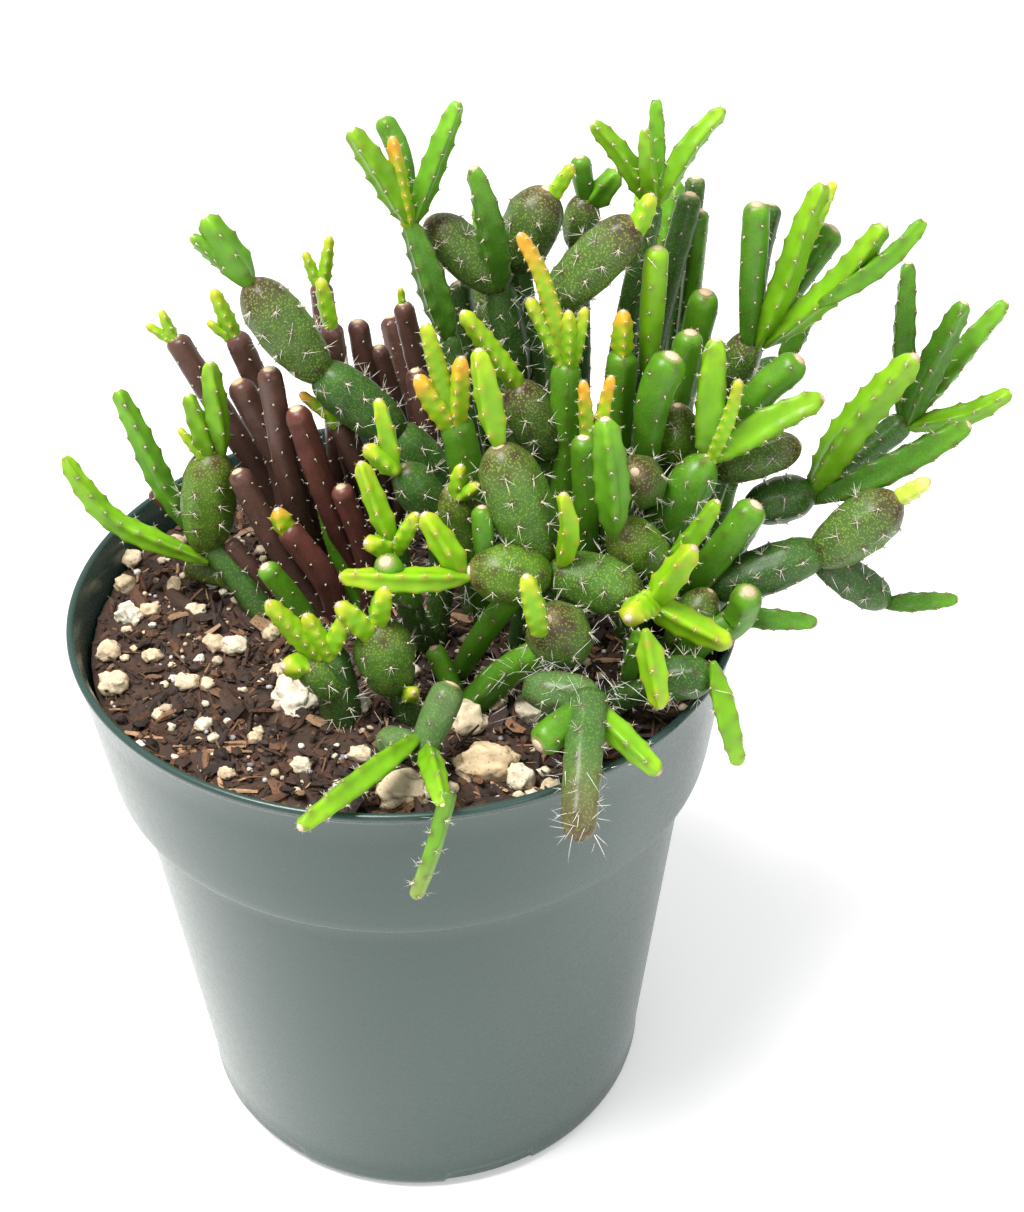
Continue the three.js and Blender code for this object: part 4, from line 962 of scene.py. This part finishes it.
def arc(centreX, centreZ, radius, first, last, count):
    angles = [math.radians(lerp(first, last, i / count)) for i in range(count + 1)]
    return [(centreX + radius * math.cos(a), centreZ + radius * math.sin(a)) for a in angles]


def potProfile():
    p = potShape
    foot = p["base"] - 1.2
    rise = p["collarBottom"]
    bodyAt = lambda z: lerp(p["base"], p["bodyTop"], z / rise)
    collarAt = lambda z: lerp(p["collarRadius"], p["rim"] - 0.35, (z - rise) / (p["height"] - rise))
    outline = [(0, 0), (p["boss"], 0), (p["boss"] + 0.8, p["recess"]), (foot - p["footWidth"], p["recess"]),
               (foot - p["footWidth"] + 0.8, 0), (foot - 0.9, 0)]
    outline += arc(foot - 0.9, 2.6, 2.6, -80, -4, 6)
    outline += [(bodyAt(z), z) for z in (4.5, 8, 16, 28, 42, 56, 68, rise - 1.6)]
    outline += [(bodyAt(rise) + 0.1, rise - 0.9), (bodyAt(rise) + 0.6, rise - 0.35)]
    outline += arc(p["collarRadius"] - 0.75, rise + 0.45, 0.7, -95, -5, 5)
    outline += [(collarAt(z), z) for z in (rise + 2, rise + 7, rise + 13, rise + 19, p["height"] - 2.0)]
    outline += arc(p["rim"] - 0.62, p["height"] - 0.68, 0.62, -60, 180, 12)
    inner = lambda z: collarAt(z) - p["wall"]
    outline += [(inner(z), z) for z in (p["height"] - 1.6, p["height"] - 4, p["height"] - 8, rise + 8, rise)]
    outline += [(p["bodyTop"] - p["wall"], rise - 2),
                (lerp(p["base"], p["bodyTop"], 0.1) - 2.2, p["floorTop"] + 2),
                (p["base"] - 5, p["floorTop"]), (0, p["floorTop"])]
    return outline


# the drain slots lift the lower edge of the wall where they pass through it
def slotLift(radius, z, angle):
    p = potShape
    if z > p["slotHeight"] or radius < p["base"] - 3:
        return z
    for i in range(p["slots"]):
        middle = -math.pi / 2 + p["slotTurn"] + math.tau * i / p["slots"]
        away = abs((angle - middle + math.pi) % math.tau - math.pi) * p["base"]
        if away < p["slotWidth"] / 2:
            return p["slotHeight"]
    return z


def makePot():
    outline, steps = potProfile(), potShape["steps"]
    store = MeshBin()
    points, faces = [], []
    for r, z in outline[1:-1]:
        for j in range(steps):
            angle = math.tau * j / steps
            lifted = slotLift(r, z, angle)
            wave = 1 + 0.0012 * math.sin(2 * angle + 0.6) * smooth(60, 100, z)
            points.append((r * wave * math.cos(angle), r * wave * math.sin(angle), lifted))
    rows = len(outline) - 2
    for i in range(rows - 1):
        for j in range(steps):
            a, b = i * steps + j, i * steps + (j + 1) % steps
            faces.append((a, b, b + steps, a + steps))
    for row, z, flip in ((0, 0, False), (rows - 1, potShape["floorTop"], True)):
        centre = len(points)
        points.append((0, 0, z))
        for j in range(steps):
            a, b = row * steps + j, row * steps + (j + 1) % steps
            faces.append((a, b, centre) if flip else (b, a, centre))
    count = len(points)
    store.add(points, faces, [(1, 1, 1)] * count, [(0, 0, 0)] * count, 0)
    piece = store.build("moulded_pot", [potPlastic])
    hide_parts("nursery_pot")
    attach(piece, "root")


makePot()
print("pot made")

mixShape = {"level": 93.5, "radius": 49.6, "rings": 110, "around": 260,
            "flakes": 3600, "peat": 1500, "crumbs": 420, "grit": 160,
            "flakeReach": 48.856, "peatReach": 48.6, "crumbReach": 48}


def mixHeight(x, y):
    spot = Vector((x, y, 0))
    rough = 0.9 * noise.noise(spot * 0.16) + 0.6 * noise.noise(spot * 0.42) + 0.4 * noise.noise(spot * 1.1)
    edge = smooth(mixShape["radius"] - 5, mixShape["radius"], math.hypot(x, y))
    return mixShape["level"] + rough - 0.3 * edge


def makeMixSurface():
    rings, around = mixShape["rings"], mixShape["around"]
    points, faces, colours = [(0, 0, mixHeight(0, 0))], [], []
    for i in range(1, rings + 1):
        r = mixShape["radius"] * i / rings
        for j in range(around):
            angle = math.tau * j / around
            x, y = r * math.cos(angle), r * math.sin(angle)
            points.append((x, y, min(mixHeight(x, y), 94.8)))
    for j in range(around):
        faces.append((0, 1 + j, 1 + (j + 1) % around))
    for i in range(rings - 1):
        for j in range(around):
            a, b = 1 + i * around + j, 1 + i * around + (j + 1) % around
            faces.append((a, a + around, b + around, b))
    # the closed sides and underside, just inside the pot
    skirt = [(45.9, 74), (44.3, 70), (37.4, 5), (36, 3.9)]
    last = 1 + (rings - 1) * around
    for r, z in skirt:
        start = len(points)
        for j in range(around):
            angle = math.tau * j / around
            points.append((r * math.cos(angle), r * math.sin(angle), z))
        for j in range(around):
            a, b = last + j, last + (j + 1) % around
            faces.append((a, start + j, start + (j + 1) % around, b))
        last = start
    centre = len(points)
    points.append((0, 0, skirt[-1][1]))
    for j in range(around):
        faces.append((last + (j + 1) % around, last + j, centre))
    for x, y, z in points:
        shade = 0.5 + 0.5 * noise.noise(Vector((x, y, 0)) * 0.35)
        colours.append(mix((0.02, 0.011, 0.008), (0.075, 0.036, 0.02), shade))
    store = MeshBin()
    store.add(points, faces, colours, [(0, 0, 0)] * len(points), 0)
    piece = store.build("mix_body", [soilMaterial])
    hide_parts("potting_mix")
    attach(piece, "root")


barkTones = [(0.022, 0.01, 0.006), (0.04, 0.017, 0.009), (0.075, 0.03, 0.014), (0.12, 0.052, 0.024),
             (0.19, 0.095, 0.048), (0.34, 0.2, 0.11)]


# a splinter: a six-sided ragged strip, tapered at both ends
def addSplinter(store, centre, direction, lift, length, width, thick, tone, rnd):
    side = direction.cross(lift).normalized()
    lift = side.cross(direction).normalized()
    rings, sides = 5, 6
    points, faces = [], []
    kink = rnd.uniform(-0.25, 0.25) * width
    for i in range(rings):
        along = i / (rings - 1)
        taper = 0.35 + 0.65 * math.sin(math.pi * clamp(along * 0.8 + 0.1)) * rnd.uniform(0.75, 1.1)
        middle = centre + direction * length * (along - 0.5) + side * kink * math.sin(along * 5)
        for j in range(sides):
            angle = math.tau * j / sides
            offset = side * math.cos(angle) * width / 2 * taper + lift * math.sin(angle) * thick / 2 * taper
            points.append(tuple(middle + offset * rnd.uniform(0.85, 1.15)))
    for i in range(rings - 1):
        for j in range(sides):
            a, b = i * sides + j, i * sides + (j + 1) % sides
            faces.append((a, b, b + sides, a + sides))
    faces.append(tuple(reversed(range(sides))))
    faces.append(tuple(range((rings - 1) * sides, rings * sides)))
    count = len(points)
    store.add(points, faces, [tone] * count, [(0, 0, 0)] * count, 0)


def unitBall(detail):
    work = bmesh.new()
    bmesh.ops.create_icosphere(work, subdivisions=detail, radius=1)
    points = [v.co.copy() for v in work.verts]
    faces = [tuple(v.index for v in f.verts) for f in work.faces]
    work.free()
    return points, faces


balls = {detail: unitBall(detail) for detail in (1, 2, 3, 4)}


# a crumb or stone: a ball pushed in and out by noise, with flattened facets, and painted shade in its pits
# and painted light on its bumps
def addLump(store, centre, size, tone, rnd, detail=2, roughness=0.35, facets=5):
    points, faces = balls[detail]
    seedSpot = Vector((rnd.uniform(0, 90), rnd.uniform(0, 90), rnd.uniform(0, 90)))
    stretch = Vector((rnd.uniform(0.8, 1.2), rnd.uniform(0.75, 1.1), rnd.uniform(0.65, 0.95)))
    cuts = []
    for _ in range(facets):
        normal = Vector((rnd.gauss(0, 1), rnd.gauss(0, 1), rnd.gauss(0, 1))).normalized()
        cuts.append((normal, rnd.uniform(0.62, 0.85)))
    shaped, tones = [], []
    for p in points:
        q = p.copy()
        for normal, limit in cuts:
            over = q.dot(normal) - limit
            if over > 0:
                q -= normal * over * 0.85
        coarse, fine = noise.noise(p * 2.2 + seedSpot), noise.noise(p * 5.5 + seedSpot)
        pits = coarse * roughness + fine * roughness * 0.45
        q *= 1 + pits
        shaped.append((centre[0] + q.x * stretch.x * size, centre[1] + q.y * stretch.y * size,
                       centre[2] + q.z * stretch.z * size))
        # painted shade and light: each vertex tone is darker where the noise pushes the surface into a pit
        # and lighter where it pushes out a bump
        shade = clamp(0.85 + pits * 1.4, 0.4, 1.15)
        tones.append(tuple(c * shade for c in tone))
    store.add(shaped, faces, tones, [(0, 0, 0)] * len(shaped), 0)


perliteTones = [(0.8, 0.7, 0.53), (0.78, 0.64, 0.44), (0.7, 0.55, 0.36), (0.84, 0.8, 0.72),
                (0.58, 0.46, 0.33)]

# the larger crumbs that show on the open side: x, y, radius in mm
bigCrumbs = [
    (-47, 17, 1.9), (-46.5, 9, 1.8), (-38.6, 9.3, 1.5), (-41.2, 1.6, 1.2), (-46, -9, 1.6),
    (-43.6, -17, 1.8), (-39, -9.6, 1.3), (-32.6, -16.5, 1.5), (-29.5, -7, 1.9), (-26.5, -8, 2.0),
    (-21, -4, 1.5), (-6.5, -22, 1.8), (-25, -21, 1.3), (-21, -28.6, 1.1), (-28.6, -27, 1.2),
    (-13.7, -34.5, 1.3), (-5.3, -33.4, 1.5), (10, -26, 2.6), (19.6, -23.8, 2.2), (14, -21.7, 1.8),
    (17.9, -39, 2.2), (-34, 2, 1.4), (-36, -24, 1.1), (-19, -14, 1.2), (-11, -16, 1.3),
    (-24, -37, 1.1), (-8, -41, 1.2), (22, -41, 1.3), (-40, 20, 1.6), (-30, 17, 1.4), (-33, 28, 1.7),
    (-20, 33, 1.6), (-8, 40, 1.5), (10, 42, 1.8), (30, 36, 1.5), (39, 25, 1.4),
]


def placeOnMix(rnd, reach):
    r, angle = reach * math.sqrt(rnd.random()), rnd.uniform(0, math.tau)
    return r * math.cos(angle), r * math.sin(angle)


def makeLooseMix():
    rnd = random.Random(5)
    bark = MeshBin()
    for _ in range(mixShape["flakes"]):
        x, y = placeOnMix(rnd, mixShape["flakeReach"])
        heading, tilt = rnd.uniform(0, math.tau), rnd.gauss(0, 0.42)
        level = math.cos(tilt)
        direction = Vector((math.cos(heading) * level, math.sin(heading) * level, math.sin(tilt)))
        length = min(9, rnd.lognormvariate(0.85, 0.55))
        width = length * rnd.choice((0.07, 0.1, 0.15, 0.22, 0.4))
        furthest = mixShape["radius"] - length / 2
        if math.hypot(x, y) > furthest:
            inward = furthest / math.hypot(x, y)
            x, y = x * inward, y * inward
        shade = rnd.uniform(0.7, 1.3)
        tone = tuple(c * shade for c in barkTones[min(5, int(rnd.random() ** 2.1 * 6))])
        centre = Vector((x, y, mixHeight(x, y) + rnd.uniform(-0.1, 0.9)))
        thick = width * rnd.uniform(0.3, 0.7)
        addSplinter(bark, centre, direction, up, length, width, thick, tone, rnd)
    for _ in range(mixShape["peat"]):
        x, y = placeOnMix(rnd, mixShape["peatReach"])
        radius = min(1.5, rnd.lognormvariate(-0.55, 0.4))
        addLump(bark, (x, y, mixHeight(x, y) + radius * 0.3), radius, rnd.choice(barkTones[:4]), rnd, 1, 0.5)
    piece = bark.build("bark_fibres", [barkMaterial], smooth=False)
    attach(piece, "root")
    crumbs = MeshBin()
    for x, y, radius in bigCrumbs:
        tone = rnd.choice(perliteTones[:3])
        addLump(crumbs, (x, y, mixHeight(x, y) + radius * 0.6), radius * 1.15, tone, rnd, 3, 0.28)
    for _ in range(mixShape["crumbs"]):
        x, y = placeOnMix(rnd, mixShape["crumbReach"])
        radius = rnd.lognormvariate(-0.6, 0.5)
        if radius > 1.7:
            continue
        addLump(crumbs, (x, y, mixHeight(x, y) + radius * 0.5), radius, rnd.choice(perliteTones), rnd, 2)
    for _ in range(mixShape["grit"]):
        x, y = placeOnMix(rnd, mixShape["crumbReach"])
        shade = rnd.uniform(0.2, 0.6)
        tone = (shade, shade, shade * 1.02)
        addLump(crumbs, (x, y, mixHeight(x, y) + 0.3), rnd.uniform(0.25, 0.6), tone, rnd, 1, 0.2)
    piece = crumbs.build("perlite_crumbs", [pumiceMaterial])
    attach(piece, "root")


# the largest lumps stand for the solids of the same name
lumps = {
    "pumice_lump": {"at": (13, -36), "radius": 4.1, "tone": (0.66, 0.5, 0.31)},
    "perlite_lump": {"at": (-16, -20), "radius": 3.9, "tone": (0.8, 0.72, 0.58)},
    "cream_pumice_lump": {"at": (1.5, -41), "radius": 3.7, "tone": (0.74, 0.6, 0.4)},
    "left_perlite_lump": {"at": (-44.5, 1), "radius": 2.6, "tone": (0.8, 0.74, 0.6)},
}


def makeLumps():
    rnd = random.Random(9)
    for name, lump in lumps.items():
        store = MeshBin()
        x, y = lump["at"]
        addLump(store, (x, y, 93 + lump["radius"] * 0.35), lump["radius"], lump["tone"], rnd, 4, 0.3, 8)
        piece = store.build("rough_" + name, [pumiceMaterial])
        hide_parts(name)
        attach(piece, "root")
    store = MeshBin()
    for i in range(7):
        offset = (i - 3) * 0.32
        direction = Vector((1, 0.05 + offset * 0.02, rnd.uniform(-0.03, 0.03))).normalized()
        centre = Vector((-26.5 + rnd.uniform(-1, 1), -31 + offset, 93.6 + rnd.uniform(-0.2, 0.3)))
        tone = mix((0.2, 0.09, 0.045), (0.42, 0.25, 0.14), rnd.random())
        addSplinter(store, centre, direction, up, rnd.uniform(9, 13), 0.7, 0.5, tone, rnd)
    piece = store.build("split_bark_sliver", [barkMaterial], smooth=False)
    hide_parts("bark_sliver")
    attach(piece, "root")


makeMixSurface()
makeLooseMix()
makeLumps()
print("potting mix made")

studio = {"floor": 3.0, "world": 0.72, "keyEnergy": 8.0, "fillEnergy": 1.2}


def makeFloor():
    mesh = bpy.data.meshes.new("studio_floor")
    half = studio["floor"] / 2
    corners = [(-half, -half, 0), (half, -half, 0), (half, half, 0), (-half, half, 0)]
    mesh.from_pydata(corners, [], [(0, 1, 2, 3)])
    floor = bpy.data.objects.new("studio_floor", mesh)
    bpy.context.scene.collection.objects.link(floor)
    floor.location.z = -0.05 * mm
    material, tree, shader = startMaterial("pale_floor", Roughness=0.85, Emission_Strength=0.22)
    shader.inputs["Emission Color"].default_value = (1, 1, 1, 1)
    paper = place(tree, patchGroup, Scale=30.0, Amount=0.02)
    paper.inputs["Color"].default_value = (0.97, 0.97, 0.97, 1)
    tree.links.new(paper.outputs["Color"], shader.inputs["Base Color"])
    mesh.materials.append(material)


def addArea(name, location, target, size, energy, colour):
    light = bpy.data.lights.new(name, "AREA")
    light.shape = "DISK"
    light.size = size
    light.energy = energy
    light.color = colour
    lamp = bpy.data.objects.new(name, light)
    bpy.context.scene.collection.objects.link(lamp)
    lamp.location = location
    lamp.rotation_euler = (Vector(target) - Vector(location)).to_track_quat("-Z", "Y").to_euler()


def makeLight():
    world = bpy.data.worlds.new("white_room")
    bpy.context.scene.world = world
    world.use_nodes = True
    world.node_tree.nodes["Background"].inputs["Color"].default_value = (1, 1, 1, 1)
    world.node_tree.nodes["Background"].inputs["Strength"].default_value = studio["world"]
    target = (0.015, 0, 0.12)
    addArea("key_window", (-0.2, -0.12, 0.75), target, 0.35, studio["keyEnergy"], (1, 0.99, 0.96))
    addArea("fill_window", (0.5, -0.5, 0.45), target, 0.5, studio["fillEnergy"], (0.96, 0.98, 1))
    bpy.context.scene.view_settings.view_transform = "Standard"
    bpy.context.scene.view_settings.look = "None"


cameraSetup = {"target": (16.83, 0, 96.13), "distance": 277.3, "elevation": 36.52, "roll": -0.414,
               "lens": 51.8, "sensor": 36}


def makeCamera():
    data = bpy.data.cameras.new("studio_camera")
    data.sensor_width = cameraSetup["sensor"]
    data.lens = cameraSetup["lens"]
    data.clip_start, data.clip_end = 0.01, 10
    camera = bpy.data.objects.new("studio_camera", data)
    bpy.context.scene.collection.objects.link(camera)
    angle = math.radians(cameraSetup["elevation"])
    back = Vector((0, -math.cos(angle), math.sin(angle)))
    camera.location = (Vector(cameraSetup["target"]) + back * cameraSetup["distance"]) * mm
    turn = (-back).to_track_quat("-Z", "Y").to_matrix().to_4x4()
    camera.rotation_euler = (turn @ Matrix.Rotation(math.radians(cameraSetup["roll"]), 4, "Z")).to_euler()
    bpy.context.scene.camera = camera


makeFloor()
makeLight()
makeCamera()
print("studio made")
